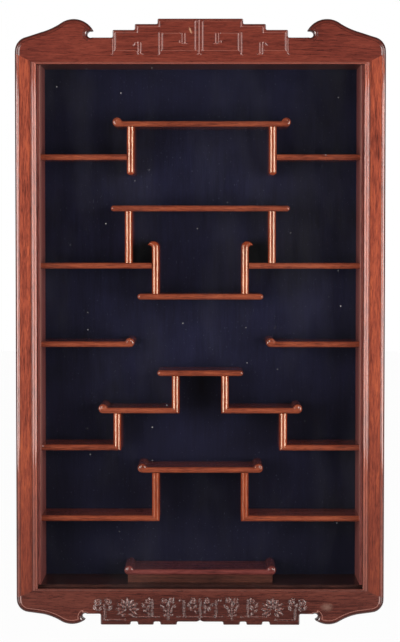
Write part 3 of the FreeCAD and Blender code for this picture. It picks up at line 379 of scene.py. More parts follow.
for vertex in lining.data.vertices:
    u, v = vertex.co.x + 0.5, vertex.co.y + 0.5
    ripple = ripple_height * (math.sin(u * 23 + v * 7) + math.sin(v * 31 - u * 11))
    vertex.co = (low[0] + (high[0] - low[0]) * u, high[1] - velvet_depth + ripple, low[2] + (high[2] - low[2]) * v)
bpy.ops.object.mode_set(mode="EDIT")
faces_out()
thickness = lining.modifiers.new("pile", "SOLIDIFY")
thickness.thickness = velvet_thickness
thickness.offset = 0
bpy.ops.object.modifier_apply(modifier=thickness.name)
finished(lining, nap, "case", "velvet", "velvet_lining")


# Hangers: two zinc-plated keyhole plates let into the back edges of the case's sides, each held by two
# screws. The cabinet hangs by them on two screws in the wall.

finish_nodes(zinc, "hanger_plates", "hanger_screws")


# Shelves: thin rosewood boards with half-round fronts, let into the sides or joined to uprights.
# Free ends are rounded, or roll up into a small curl with a carved slot behind it.

shelf_thickness = 0.009
shelf_nose = 0.0040
upright_width = 0.0116
curl_radius, curl_blend, curl_wall = 0.0072, 0.003, 0.0038
curl_slot_width, curl_slot_depth, curl_slot_fade = 0.0028, 0.0014, 0.0015
same = 1e-6
shelf_wood = rosewood("shelf_wood", "x", ((100, 41, 29), (161, 77, 53), (192, 100, 66)), 0.9)
platform_wood = rosewood("platform_wood", "x", ((80, 33, 33), (131, 63, 60), (156, 82, 75)), 0.9)
shelf_ends = (
    ("top_bridge_shelf", "curl", "curl"),
    ("upper_shelf_left", "square", "square"),
    ("upper_shelf_right", "square", "square"),
    ("high_bridge_shelf", "round", "round"),
    ("middle_shelf_left", "square", "square"),
    ("middle_shelf_right", "square", "square"),
    ("centre_bridge_shelf", "round", "round"),
    ("side_shelf_left", "square", "curl"),
    ("side_shelf_right", "curl", "square"),
    ("small_centre_shelf", "round", "round"),
    ("scroll_shelf_left", "curl", "mitre"),
    ("scroll_shelf_right", "mitre", "curl"),
    ("corner_shelf_left", "square", "mitre"),
    ("corner_shelf_right", "mitre", "square"),
    ("low_bridge_shelf", "curl", "curl"),
    ("lower_shelf_left", "square", "mitre"),
    ("lower_shelf_right", "mitre", "square"),
    ("platform_board", "curl", "curl"),
)


def pick_edges(piece, test):
    """Goes into edit mode with the edges selected whose start and stop pass the test."""
    activate(piece)
    bpy.ops.object.mode_set(mode="EDIT")
    bpy.ops.mesh.select_mode(type="EDGE")
    bpy.ops.mesh.select_all(action="DESELECT")
    bpy.ops.object.mode_set(mode="OBJECT")
    for edge in piece.data.edges:
        start, stop = [piece.data.vertices[corner].co for corner in edge.vertices]
        edge.select = test(start, stop)
    bpy.ops.object.mode_set(mode="EDIT")


def board(name, points, low, high, along="y"):
    """A board with the outline's shape, from low to high along y or z."""
    bpy.ops.object.select_all(action="DESELECT")
    bpy.ops.mesh.primitive_circle_add(vertices=len(points), radius=1, fill_type="NGON")
    piece = bpy.context.object
    piece.name = name
    for vertex, (u, v) in zip(piece.data.vertices, points):
        vertex.co = (u, low, v) if along == "y" else (u, v, low)
    bpy.ops.object.mode_set(mode="EDIT")
    bpy.ops.mesh.select_all(action="SELECT")
    pull = (0, high - low, 0) if along == "y" else (0, 0, high - low)
    bpy.ops.mesh.extrude_region_move(TRANSFORM_OT_translate={"value": pull})
    faces_out()
    return piece


def swept(middle_x, middle_z, radius, start, stop, cuts, side):
    """Points along an arc between two angles in degrees, turned to the left or the right side."""
    points = []
    for step in range(cuts + 1):
        angle = math.radians(start + (stop - start) * step / cuts)
        points.append((middle_x + side * radius * math.cos(angle), middle_z + radius * math.sin(angle)))
    return points


def shelf_end(kind, x, side, level):
    """The end of a shelf's outline, from its underside up to its top."""
    under = level - shelf_thickness
    if kind == "square":
        return [(x, under), (x, level)]
    if kind == "mitre":
        return [(x, under), (x - side * upright_width, level)]
    if kind == "round":
        half = shelf_thickness / 2
        return swept(x - side * half, level - half, half, -90, 90, 10, side)
    middle_x, middle_z = x - side * curl_radius, under + curl_radius
    climb = level + curl_blend - middle_z
    reach = math.sqrt((curl_radius + curl_blend) ** 2 - climb ** 2)
    slope = math.degrees(math.atan2(climb, reach))
    roll = swept(middle_x, middle_z, curl_radius, -90, 180 - slope, 20, side)
    return roll + swept(middle_x - side * reach, level + curl_blend, curl_blend, -slope, -90, 4, side)[1:]


def near_line(x, z, line):
    """How far each spot is from the line of (x, z, half), and the half width there."""
    nearest, half_there = np.full(x.shape, 1.0), np.zeros(x.shape)
    for (ax, az, first), (bx, bz, last) in zip(line, line[1:]):
        run, rise = bx - ax, bz - az
        share = np.clip(((x - ax) * run + (z - az) * rise) / max(run * run + rise * rise, 1e-12), 0, 1)
        away = np.hypot(x - ax - run * share, z - az - rise * share)
        half_there = np.where(away < nearest, first + (last - first) * share, half_there)
        nearest = np.minimum(nearest, away)
    return nearest, half_there


def from_line(x, z, line):
    """How far each spot is from the line of (x, z)."""
    return near_line(x, z, [(*point, 0) for point in line])[0]


def sawn(x, z, outline):
    """Which of the spots lie inside the outline."""
    within = np.zeros(x.shape, bool)
    for (ax, az), (bx, bz) in zip(outline, outline[1:] + outline[:1]):
        if az != bz:
            within ^= ((az > z) != (bz > z)) & (x < (bx - ax) * (z - az) / (bz - az) + ax)
    return within


def rounded(away, radius):
    """How far a rounded edge falls back at a distance from the outline."""
    inward = np.clip(radius - away, 0, radius)
    return radius - np.sqrt(radius * radius - inward * inward)


def worked_board(name, outline, pitch, front, back, fine, depth_at):
    """A board sawn to the outline, its face divided finely and worked back by depth_at(x, z).
    Spots lie a pitch apart where fine(x, from_edge) says so, and five pitches apart elsewhere."""
    longest_cut, sparse = 0.001, 5
    corners = []
    for (ax, az), (bx, bz) in zip(outline, outline[1:] + outline[:1]):
        cuts = math.ceil(math.hypot(bx - ax, bz - az) / longest_cut)
        corners += [(ax + (bx - ax) * step / cuts, az + (bz - az) * step / cuts) for step in range(cuts)]
    columns = np.arange(min(x for x, _ in outline) + pitch, max(x for x, _ in outline), pitch)
    rows = np.arange(min(z for _, z in outline) + pitch, max(z for _, z in outline), pitch)
    x, z = np.meshgrid(columns, rows)
    coarse = (np.arange(columns.size)[None, :] % sparse == 0) & (np.arange(rows.size)[:, None] % sparse == 0)
    from_edge = from_line(x, z, outline + outline[:1])
    keep = sawn(x, z, outline) & (from_edge > pitch * 0.6) & (coarse | fine(x, from_edge))
    spots = [Vector(corner) for corner in corners] + [Vector(spot) for spot in zip(x[keep], z[keep])]
    flat, _, faces = delaunay_2d_cdt(spots, [], [list(range(len(corners)))], 1, 1e-7, False)[:3]
    middles = np.array([sum((flat[corner] for corner in face), Vector((0, 0))) / len(face) for face in faces])
    faces = [face for face, solid in zip(faces, sawn(middles[:, 0], middles[:, 1], outline)) if solid]

    mesh = bpy.data.meshes.new(name)
    mesh.from_pydata([(spot.x, front, spot.y) for spot in flat], [], faces)
    piece = bpy.data.objects.new(name, mesh)
    bpy.context.collection.objects.link(piece)
    activate(piece)
    bpy.ops.object.mode_set(mode="EDIT")
    bpy.ops.mesh.select_mode(type="EDGE")
    bpy.ops.mesh.select_all(action="SELECT")
    bpy.ops.mesh.region_to_loop()
    bpy.ops.mesh.extrude_edges_move(TRANSFORM_OT_translate={"value": (0, back - front, 0)})
    bpy.ops.mesh.edge_face_add()
    faces_out()
    face_spots = [vertex for vertex in piece.data.vertices if vertex.co.y < front + same]
    depths = depth_at(np.array([vertex.co.x for vertex in face_spots]),
                      np.array([vertex.co.z for vertex in face_spots]))
    for vertex, depth in zip(face_spots, depths):
        vertex.co.y = front + float(depth)
    return piece


def all_fine(x, from_edge):
    """Small pieces are divided finely all over."""
    return from_edge < 1


for name, left_kind, right_kind in shelf_ends:
    low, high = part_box(name)
    level = low[2] + shelf_thickness
    right_end = shelf_end(right_kind, high[0], 1, level)
    left_end = shelf_end(left_kind, low[0], -1, level)[::-1]
    outline = right_end + left_end
    ends = ((low[0], left_kind), (high[0], right_kind))
    plain_ends = [end for end, kind in ends if kind in ("square", "mitre")]
    curls = [end for end, kind in ends if kind == "curl"]
    wood = platform_wood if name == "platform_board" else shelf_wood
    if curls:
        free_edge = outline + outline[:1]
        if left_kind != "curl":
            free_edge = left_end[1:] + right_end + left_end[:1]
        elif right_kind != "curl":
            free_edge = right_end[1:] + left_end + right_end[:1]

        def rolled(x, z):
            slot = np.zeros(x.shape)
            for end in curls:
                behind_wall = np.abs(x - end) - curl_wall
                slot += np.where(behind_wall > 0, np.clip(1 - behind_wall / curl_slot_width, 0, 1) ** 2, 0)
            up = np.clip((z - level + curl_slot_fade) / curl_slot_fade, 0, 1)
            return rounded(from_line(x, z, free_edge), shelf_nose) + curl_slot_depth * slot * up

        shelf = worked_board(f"{name}_wood", outline, 0.0005, low[1], high[1], all_fine, rolled)
        finished(shelf, wood, "case", "rosewood", name, angle=60)
        continue
    shelf = board(f"{name}_wood", outline, low[1], high[1])

    def on_nose(start, stop):
        if abs(start.y - low[1]) > same or abs(stop.y - low[1]) > same:
            return False
        level_run = abs(start.z - stop.z) < same
        return level_run or not any(min(abs(start.x - end), abs(stop.x - end)) < same for end in plain_ends)

    pick_edges(shelf, on_nose)
    bpy.ops.mesh.bevel(offset=shelf_nose, segments=6, profile=0.5, affect="EDGES")
    bpy.ops.object.mode_set(mode="OBJECT")
    finished(shelf, wood, "case", "rosewood", name)


# Uprights: short posts with rounded fronts between the shelves, mitred, butted or ending free.
# The hooked pair curls outwards at the top, like the shelves' scrolls.

upright_nose = 0.0052
post_wood = rosewood("upright_wood", "z", ((112, 42, 26), (176, 76, 46), (204, 100, 62)), lacquer=2.3,
                     amber=(1.0, 0.80, 0.62, 1))


def through(start, via, stop, cuts):
    """Points along the arc from start to stop through via."""
    (ax, az), (bx, bz), (cx, cz) = start, via, stop
    twice = 2 * (ax * (bz - cz) + bx * (cz - az) + cx * (az - bz))
    a, b, c = ax * ax + az * az, bx * bx + bz * bz, cx * cx + cz * cz
    mx = (a * (bz - cz) + b * (cz - az) + c * (az - bz)) / twice
    mz = (a * (cx - bx) + b * (ax - cx) + c * (bx - ax)) / twice
    first, middle, last = [math.atan2(z - mz, x - mx) for x, z in (start, via, stop)]
    turn = (last - first) % math.tau
    if (middle - first) % math.tau > turn:
        turn -= math.tau
    radius = math.hypot(ax - mx, az - mz)
    angles = [first + turn * step / cuts for step in range(1, cuts + 1)]
    return [(mx + radius * math.cos(angle), mz + radius * math.sin(angle)) for angle in angles]


bow_rise = 0.003
hook_reach, hook_drop, hook_root, hook_shoulder = 0.0064, 0.0067, 0.0115, 0.0086
for kind in ("top", "high", "centre", "corner", "lower"):
    for side, sign in SIDES:
        name = f"{kind}_upright_{side}"
        low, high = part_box(name)
        inner, outer = (low[0], high[0]) if sign > 0 else (high[0], low[0])
        foot, head = low[2], high[2]
        if kind == "top":
            bow = foot + bow_rise
            outline = [(outer, head), (outer, bow)]
            outline += through((outer, bow), ((outer + inner) / 2, foot), (inner, bow), 6) + [(inner, head)]
        elif kind == "high":
            outline = [(outer, head), (outer, foot), (inner, foot), (inner, head)]
        else:
            outline = [(outer, head), (outer, foot + shelf_thickness), (inner, foot), (inner, head)]
        post = board(f"{name}_wood", outline, low[1], high[1])
        joined = [head, foot] if kind == "high" else [head]

        def on_front(start, stop):
            if abs(start.y - low[1]) > same or abs(stop.y - low[1]) > same:
                return False
            if any(abs(start.z - z) < same and abs(stop.z - z) < same for z in joined):
                return False
            return kind == "top" or abs(start.x - stop.x) < same

        pick_edges(post, on_front)
        bpy.ops.mesh.bevel(offset=upright_nose, segments=7, profile=0.5, affect="EDGES")
        bpy.ops.object.mode_set(mode="OBJECT")
        finished(post, post_wood, "case", "rosewood", name)

for side, sign in SIDES:
    name = f"hooked_upright_{side}"
    low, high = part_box(name)
    inner = low[0] if sign > 0 else high[0]
    outer = inner + sign * upright_width
    foot, head = low[2], high[2]
    shoulder, tip = (inner, head - hook_shoulder), (outer + sign * hook_reach, head - hook_drop)
    hollow = (outer + sign * hook_reach * 0.19, tip[1] - hook_drop * 0.24)
    outline = [(inner, foot), shoulder] + through(shoulder, ((inner + tip[0]) / 2, head), tip, 12)
    outline += through(tip, hollow, (outer, head - hook_root), 6) + [(outer, foot)]

    def nose(x, z):
        return rounded(from_line(x, z, outline), upright_nose)

    post = worked_board(f"{name}_wood", outline, 0.0006, low[1], high[1], all_fine, nose)
    finished(post, post_wood, "case", "rosewood", name, angle=60)


# Platform plinth: three low walls of rosewood under the bottom shelf, a front and two cheeks, painted dark as
# painted shade.
# They stand on the case floor and are glued to it and to the shelf.

# Painted shade: the plinth's tones are dark because it stands in shadow under the shelf
plinth_wood = rosewood("plinth_wood", "x", ((50, 26, 22), (82, 44, 36), (104, 58, 46)), 0.4)
finish_nodes(plinth_wood, "platform_plinth_front")
finish_nodes(plinth_wood, "platform_plinth_cheek_left", "platform_plinth_cheek_right")


# Door stiles: rosewood, moulded in one piece. From the glass out come two small round beads, a shallow
# cove, the flat field, a fine quirk and a round outer edge; the ends are mitred to the rails.

door_back, door_face, door_front = -0.102, -0.1188, -0.120
sight_x, sight_z, edge_x = 0.2475, 0.398, 0.280
glass_front, rebate_x, rebate_z = -0.112, 0.2535, 0.404
bead = 0.0036
beads_end = sight_x + bead * 2
stile_reach = 0.43
mitre_rise = {1: 0.0165, -1: 0.014}
# The stile's hollows and outer rounding are painted darker, as painted shade, its proud beads a little paler, as a
# painted highlight, and the whole is painted darker towards the bottom, as painted shade
stile_wood = rosewood("stile_wood", "z", ((84, 32, 24), (160, 75, 54), (206, 104, 66)), 0.9,
                      painted_by_depth=(door_face + 0.0001, door_face + 0.0006, (160, 75, 54), 0.0, 0.15),
                      shaded_below=(0.04, -0.42))
beads = [(sight_x, glass_front), (sight_x, door_face)]
beads += through((sight_x, door_face), (sight_x + bead / 2, door_front), (sight_x + bead, door_face), 8)
beads += through((sight_x + bead, door_face), (sight_x + bead * 1.5, door_front), (beads_end, door_face), 8)
moulding = beads + [(beads_end + 0.0003, door_face + 0.0007), (beads_end + 0.0010, door_face + 0.00035)]
moulding += through(moulding[-1], (beads_end + 0.0028, door_face + 0.00028), (beads_end + 0.0054, door_face), 4)
moulding += [(edge_x - 0.0068, door_face), (edge_x - 0.0062, door_face + 0.0008)]
moulding += [(edge_x - 0.0055, door_face + 0.0001)]
moulding += through(moulding[-1], (edge_x - 0.0013, door_face + 0.0013), (edge_x, door_face + 0.0050), 8)
moulding += [(edge_x, door_back), (rebate_x, door_back), (rebate_x, glass_front)]


def mitred(piece, sign, end, keep_stile):
    """Saws the piece along the mitre of one corner; the stile's or the rail's side is kept."""
    activate(piece)
    bpy.ops.object.mode_set(mode="EDIT")
    bpy.ops.mesh.select_mode(type="FACE")
    bpy.ops.mesh.select_all(action="SELECT")
    run, rise = edge_x - sight_x, mitre_rise[end]
    away = Vector((-sign * rise, 0, end * run)) * (1 if keep_stile else -1)
    bpy.ops.mesh.bisect(plane_co=(sign * sight_x, 0, end * sight_z), plane_no=away, use_fill=True,
                        clear_outer=True)
    bpy.ops.object.mode_set(mode="OBJECT")


for side, sign in SIDES:
    section = [(sign * x, y) for x, y in moulding]
    stile = board(f"door_stile_{side}_wood", section, -stile_reach, stile_reach, along="z")
    for end in (1, -1):
        mitred(stile, sign, end, True)
    finished(stile, stile_wood, "door", "rosewood", f"door_stile_{side}")


# Rails: the crest and the apron are sawn from wide rosewood boards, their waves hooked at the tips.
# The face is carved in one with the board: a rounded edge and a quirk follow the wave, square key frets
# stand on the crest, and the apron has scrolls, two fans and little fungus sprays.

wave_round, step_round, sparse_edge = 0.0044, 0.0022, 0.0095
quirk_start, quirk_run, quirk_depth = 0.0070, 0.0018, 0.0005
quirk_line, quirk_line_width = 0.0066, 0.0006
ridge_height, ridge_foot, groove_width = 0.0010, 0.0004, 0.0009
carved_pitch = 0.0005
crest_wave = [(0.280, 0.4180)]
crest_wave += through((0.280, 0.4180), (0.2752, 0.4316), (0.262, 0.4395), 7)
crest_wave += [(0.241, 0.4463)]
crest_wave += through((0.241, 0.4463), (0.2265, 0.4514), (0.212, 0.4590), 6)
crest_wave += through((0.212, 0.4590), (0.187, 0.4660), (0.1615, 0.4490), 14)
crest_wave += [(0.1640, 0.4480)]
crest_wave += through((0.1640, 0.4480), (0.1707, 0.4431), (0.1643, 0.4382), 10)
crest_steps = [(0.1322, 0.4382), (0.1322, 0.4496), (0.0988, 0.4496), (0.0988, 0.4584), (0.0645, 0.4584),
                (0.0645, 0.4665)]
apron_wave = [(0.280, -0.4150)]
apron_wave += through((0.280, -0.4150), (0.2748, -0.4283), (0.262, -0.4346), 7)
apron_wave += [(0.240, -0.4376)]
apron_wave += through((0.240, -0.4376), (0.227, -0.4413), (0.214, -0.4474), 6)
apron_wave += through((0.214, -0.4474), (0.192, -0.4528), (0.1755, -0.4462), 12)
apron_wave += [(0.1780, -0.4452)]
apron_wave += through((0.1780, -0.4452), (0.1800, -0.4414), (0.1730, -0.4369), 8)
apron_steps = [(0.1517, -0.4369), (0.1517, -0.4535), (0.1060, -0.4535), (0.1060, -0.4488), (0.0950, -0.4488),
                (0.0950, -0.4535), (0.0707, -0.4535), (0.0707, -0.4488), (0.0606, -0.4488), (0.0606, -0.4535),
                (0.0353, -0.4535), (0.0353, -0.4488), (0.0042, -0.4488), (0.0008, -0.4468)]


# The carver's strokes are lines of (x, z, half width), in millimetres; their angles are in degrees

def spiral(x, z, radius, turns, start, hand, half):
    """A carved curl that winds in to its middle."""
    cuts = int(turns * 10)
    line = []
    for step in range(cuts + 1):
        share = step / cuts
        angle = math.radians(start) + hand * share * turns * math.tau
        reach = radius * (1 - 0.82 * share)
        line.append((x + reach * math.cos(angle), z + reach * math.sin(angle), half * (1 - 0.25 * share)))
    return line


def petal(x, z, length, angle, half=1.3):
    """A short swelling, like a grain of rice."""
    dx, dz = length / 2 * math.cos(math.radians(angle)), length / 2 * math.sin(math.radians(angle))
    return [(x - dx, z - dz, half * 0.35), (x, z, half), (x + dx, z + dz, half * 0.35)]


def fan(x, z, reach, petals, start, stop, length, half):
    """Petals around a middle, each pointing away from it."""
    spray = []
    for step in range(petals):
        turn = start + (stop - start) * step / (petals - 1)
        dx, dz = reach * math.cos(math.radians(turn)), reach * math.sin(math.radians(turn))
        spray.append(petal(x + dx, z + dz, length, turn, half))
    return spray


def straight(*points, half):
    return [(x, z, half) for x, z in points]


def both_sides(lines):
    return lines + [[(-x, z, half) for x, z, half in line] for line in lines]


def eased(line, radius):
    """The line with its corners rounded off, by less than half of each run."""
    soft = []
    for (ax, az), (bx, bz), (cx, cz) in zip(line, line[1:], line[2:]):
        back = min(0.48, radius / math.hypot(ax - bx, az - bz))
        on = min(0.48, radius / math.hypot(cx - bx, cz - bz))
        for share in (0, 0.25, 0.5, 0.75, 1):
            before, after = (1 - share) ** 2 * back, share ** 2 * on
            soft.append((bx + (ax - bx) * before + (cx - bx) * after, bz + (az - bz) * before + (cz - bz) * after))
    return soft


def carved_depth(x, z, wave, steps, carving, ground, groove, chisel):
    """How far the carver went in behind the face at each spot; less than nothing is proud of it."""
    from_wave = from_line(np.abs(x), z, [(edge_x, 0)] + wave)
    from_steps = from_line(np.abs(x), z, wave[-1:] + steps + [(0, steps[-1][1])])
    depth = np.maximum(rounded(from_wave, wave_round), rounded(from_steps, step_round)) + ground(x, z)
    short_of_notch = np.clip((np.abs(x) - wave[-1][0] - 0.004) / 0.004, 0, 1)
    fall = np.clip((quirk_start - from_wave) / quirk_run, 0, 1)
    scratch = groove * 0.5 * np.exp(-((from_wave - quirk_line) / quirk_line_width) ** 2)
    depth += (quirk_depth * fall * fall * (3 - 2 * fall) + scratch) * short_of_notch
    ridge, hollow = np.zeros(x.shape), np.zeros(x.shape)
    for line in carving:
        line = [(a / 1000, b / 1000, half / 1000) for a, b, half in line]
        reach = 0.004
        close = ((x > min(p[0] for p in line) - reach) & (x < max(p[0] for p in line) + reach)
                 & (z > min(p[1] for p in line) - reach) & (z < max(p[1] for p in line) + reach))
        away, half = near_line(x[close], z[close], line)
        round_top = np.sqrt(np.clip(1 - (away / half) ** 2, 0, 1)) * np.minimum(half, ridge_height)
        ridge[close] = np.maximum(ridge[close], round_top)
        hollow[close] = np.maximum(hollow[close], groove * np.exp(-((away - half * 1.4) / groove_width) ** 2))
    marks = np.sin(x * 2100 + 1.7 * np.sin(z * 1500)) * np.sin(z * 1900 + 1.3 * np.sin(x * 1700))
    marks = chisel * marks * np.clip(ridge / 0.0008 + hollow / groove, 0, 1)
    depth = np.where(ridge > 0, np.minimum(depth, ridge_foot) - ridge * 1.1, depth + hollow)
    return np.maximum(depth + marks, door_front - door_face)


def rail(name, wave, steps, carving, carved_to, ground, groove, chisel, end):
    """A rail with its bead strip: end is 1 for the crest above and -1 for the apron below.
    It is carved out to carved_to at each side, with grooves and chisel marks as deep as given."""
    squeeze = mitre_rise[end] / (edge_x - sight_x)
    mitre_foot = (sight_x + (rebate_z - sight_z) / squeeze, end * rebate_z)
    steps = eased(wave[-1:] + steps + [(0, steps[-1][1])], step_round)
    outline = [mitre_foot, (edge_x, end * (sight_z + mitre_rise[end]))] + wave + steps
    outline += [(-x, z) for x, z in reversed(outline)]

    def fine(x, from_edge):
        return (np.abs(x) < carved_to) | (from_edge < sparse_edge)

    def depth_at(x, z):
        return carved_depth(x, z, wave, steps, carving, ground, groove, chisel)

    slab = worked_board(name, outline, carved_pitch, door_face, door_back, fine, depth_at)
    profile = [(y, end * (sight_z + (x - sight_x) * squeeze)) for x, y in beads]
    profile += [(door_face, end * rebate_z), (glass_front, end * rebate_z)]
    band = board(f"{name}_beads", profile, -edge_x, edge_x, along="z")
    for vertex in band.data.vertices:
        y, z, x = vertex.co
        vertex.co = (x, y, z)
    activate(band)
    bpy.ops.object.mode_set(mode="EDIT")
    faces_out()
    for _, sign in SIDES:
        mitred(band, sign, end, False)
    activate(slab)
    band.select_set(True)
    bpy.ops.object.join()
    return slab


frets = both_sides([
    straight((128.8, 445.5), (128.8, 418.3), half=0.85), straight((94.8, 453.0), (94.8, 445.5), half=1.0),
    straight((62.0, 461.5), (62.0, 454.5), half=1.0), straight((57.8, 444.5), (57.8, 418.3), half=0.85),
    straight((128.8, 445.5), (94.8, 445.5), half=0.7), straight((94.8, 454.5), (62.0, 454.5), half=0.7),
    straight((62.0, 462.6), (5.2, 462.6), half=0.7), straight((5.2, 418.3), (57.8, 418.3), half=0.8),
    straight((57.8, 444.5), (31, 444.5), half=0.8), straight((128.8, 418.3), (97, 418.3), half=0.8),
    straight((132.0, 436.0), (132.0, 414.5), (133.4, 412.8), half=0.95),
    straight((61.6, 445.5), (61.6, 414.5), (63.0, 412.4), half=0.95),
    straight((27.4, 444.5), (27.4, 431.5), half=0.85),
    straight((27.4, 429.6), (31.4, 430.4), (31.2, 433.2), half=0.9),
    straight((23.2, 444.5), (23.2, 430.5), (20.8, 428.6), (24.4, 428.8), half=0.95),
    straight((93.6, 431.5), (94.0, 415.5), (92.4, 413.2), half=0.95),
    straight((100.4, 426.5), (98.0, 430.6), (93.6, 431.5), half=0.8),
    straight((89.8, 430.5), (89.8, 415.6), (87.2, 413.0), (91.0, 413.2), half=0.95),
])
frets += [straight((-7.2, 462), (-7.2, 418.3), half=0.85), straight((-1.8, 464), (-1.8, 414.6), half=1.1),
          straight((3.2, 462), (3.2, 418.3), half=0.85),
          straight((-4.4, 412.8), (-1.8, 415.0), (0.8, 412.8), half=0.9)]
knots = [
    spiral(155.5, -418.8, 4.4, 1.2, 120, -1, 1.3), spiral(141.0, -418.0, 4.2, 1.2, 60, 1, 1.3),
    petal(160.0, -427.0, 7.0, 55, 1.6), petal(152.8, -428.2, 6.0, 110), petal(137.5, -427.0, 6.5, 120, 1.6),
    petal(147.0, -424.0, 6.0, 80), straight((145.4, -429), (145.4, -445.2), (115, -445.2), half=0.8),
    *fan(111.0, -428.6, 12.2, 9, -30, 210, 7.4, 2.0), *fan(111.0, -428.6, 5.6, 5, -10, 190, 5.0, 1.5),
    petal(104.5, -438.0, 6.0, 40, 1.6), petal(117.5, -438.0, 6.0, 140, 1.6),
    spiral(80.0, -416.5, 4.0, 1.3, 120, 1, 1.1), petal(86.4, -423.0, 6.0, 70), petal(79.0, -426.4, 6.4, 110),
    petal(84.0, -431.6, 5.6, 40), petal(78.6, -436.6, 4.6, 90), straight((98, -440.6), (77, -440.6), half=0.7),
    straight((73.2, -414.5), (73.2, -440.6), (64, -440.6), half=0.75),
    spiral(54.6, -417.0, 3.8, 1.3, 60, 1, 1.1), spiral(43.0, -416.0, 4.0, 1.3, 120, -1, 1.1),
    petal(48.6, -423.0, 7.0, 85, 1.5), petal(40.0, -424.6, 6.4, 130), petal(57.0, -425.0, 6.4, 50),
    petal(44.0, -431.4, 5.6, 115), petal(53.0, -431.6, 5.6, 60),
    straight((48.6, -428), (48.6, -445), half=0.75), petal(44.8, -438.0, 4.6, 150), petal(52.6, -438.2, 4.6, 30),
    straight((34, -440.6), (24.6, -440.6), (24.6, -416.5), half=0.75), petal(29.6, -415.2, 4.6, 20),
    spiral(11.4, -417.0, 4.0, 1.3, 90, 1, 1.1), petal(17.2, -422.4, 5.6, 60), petal(8.0, -425.0, 5.6, 120),
    petal(14.0, -428.4, 5.6, 90), petal(7.0, -433.0, 4.8, 70), straight((20.6, -440.6), (4, -440.6), half=0.7),
]
knots = both_sides(knots) + [straight((0, -413.5), (0, -446), half=0.75)]


def plain_ground(x, z):
    """The crest's ground is level with its flat field."""
    return np.zeros(x.shape)


def sunk_ground(x, z):
    """The apron's ground goes in a little behind its carving."""
    sunk_depth, sunk_side, side_run, sunk_top, top_run = 0.0007, 0.162, 0.006, -0.4060, 0.009
    side = np.clip((sunk_side - np.abs(x)) / side_run, 0, 1)
    upper = np.clip((sunk_top - z) / top_run, 0, 1)
    return sunk_depth * side * upper


# The crest has a pale patch near its middle, and the apron a pale patch at the right
# The crest and the apron are darker than the stiles, partly in their own tone and partly as painted shade; their
# hollows are painted darker as painted shade, the crest's fall line dark as painted shade, the apron's fall line
# and both rails' proud beads paler as painted highlights
shade_start, shade_full = door_face + 0.0001, door_face + 0.0011
crest_wood = rosewood("crest_wood", "x", ((78, 30, 24), (121, 53, 41), (144, 68, 52)), 0.9, 2.3,
                      painted_by_depth=(shade_start, shade_full, (70, 32, 27), 0.70, 0.32),
                      pale_patch=((-0.0149, 0.4484), (0.0023, 0.0068), -0.4, (224, 176, 140)))
apron_wood = rosewood("apron_wood", "x", ((58, 26, 23), (100, 51, 43), (124, 68, 56)), 1.0, 2.3,
                      painted_by_depth=(shade_start, shade_full, (222, 160, 146), 0.52, 0.16),
                      pale_patch=((0.1932, -0.4258), (0.0125, 0.0085), 0, (142, 108, 96)))
crest = rail("crest_rail_wood", crest_wave, crest_steps, frets, carved_to=0.137, ground=plain_ground,
             groove=0.0002, chisel=0.0, end=1)
finished(crest, crest_wood, "door", "rosewood", "crest_rail", angle=60)
apron = rail("apron_rail_wood", apron_wave, apron_steps, knots, carved_to=0.168, ground=sunk_ground,
             groove=0.0003, chisel=0.00026, end=-1)
finished(apron, apron_wood, "door", "rosewood", "apron_rail", angle=60)


# Glass: a pane of clear window glass, with a little dust on it, in the door frame's rebate.
# Four thin beads of the frame's own wood hold it from behind.

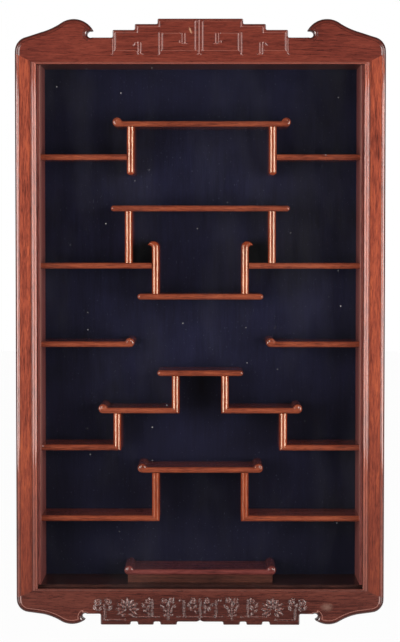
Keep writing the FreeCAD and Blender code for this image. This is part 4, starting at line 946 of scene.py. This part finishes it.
clear, pane = finish_named("window_glass")
edge_on = pane.node("ShaderNodeLayerWeight", {}, output="Facing") ** 5 * 0.96 + 0.04
speck_scale = 42.0
from_speck = pane.node("ShaderNodeTexVoronoi", {}, Vector=pane.where(), Scale=speck_scale)
speck_luck = pane.node("ShaderNodeTexVoronoi", {}, Vector=pane.where(), Scale=speck_scale, output="Color")
speck_luck = pane.node("ShaderNodeSeparateColor", {}, speck_luck)
dust = (1 - pane.between(from_speck, 0.022, 0.060)) * pane.between(speck_luck, 0.66, 1.0) * 0.42
haze = pane.between(pane.noise(pane.stretched((1, 1, 0.35)), 9.0, 5.0, 0.65), 0.48, 0.80) * 0.007
sheer = pane.node("ShaderNodeBsdfTransparent", {}, Color=(0.97, 0.985, 0.98, 1))
shine = pane.node("ShaderNodeBsdfPrincipled", {}, Base_Color=(0.02, 0.025, 0.025, 1), Roughness=0.02,
                  Specular_IOR_Level=1.0)
specks = pane.node("ShaderNodeBsdfDiffuse", {}, Color=(0.75, 0.76, 0.78, 1))
glazed = pane.node("ShaderNodeMixShader", {}, edge_on, sheer, shine)
pane.node("ShaderNodeOutputMaterial", {}, pane.node("ShaderNodeMixShader", {}, dust + haze, glazed, specks))
finish_nodes(clear, "glass_pane")
finish_nodes(stile_wood, "glass_bead_left", "glass_bead_right")
finish_nodes(crest_wood, "glass_bead_top")
finish_nodes(apron_wood, "glass_bead_bottom")


# Hinges: two small butt hinges of satin brass at the right, each with two leaves, a pin and screws.
# One leaf is let into the case's front edge and the other into the back of the stile.

brass, leaf_metal = finish_named("satin_brass")
brushing = leaf_metal.noise(leaf_metal.stretched((1, 1, 0.1)), 1400.0, 2.0)
tarnish = leaf_metal.noise(leaf_metal.where(), 90.0, 3.0)
brass_colour = leaf_metal.mixed(tarnish, paint(206, 168, 92), paint(168, 128, 62))
brushed = leaf_metal.node("ShaderNodeBump", {}, Strength=0.15, Distance=0.0002, Height=brushing)
leaf_metal.skin(Base_Color=brass_colour, Metallic=1.0, Roughness=0.24 + tarnish * 0.2, Normal=brushed)
finish_nodes(brass, "case_hinge_leaf_upper", "case_hinge_leaf_lower", "hinge_pins", "case_hinge_screws",
             "door_hinge_leaf_upper", "door_hinge_leaf_lower", "door_hinge_screws")


# Catch: a nickel-plated magnet pressed into the case's front edge at the left, and a disc of zinc-plated
# steel in the back of the stile opposite.

nickel, plate = finish_named("nickel_plate")
smudges = plate.noise(plate.where(), 700.0, 3.0)
nickel_colour = plate.mixed(smudges, paint(208, 206, 200), paint(178, 176, 172))
plate.skin(Base_Color=nickel_colour, Metallic=1.0, Roughness=0.12 + smudges * 0.15)
finish_nodes(nickel, "catch_magnet")
finish_nodes(zinc, "catch_strike")
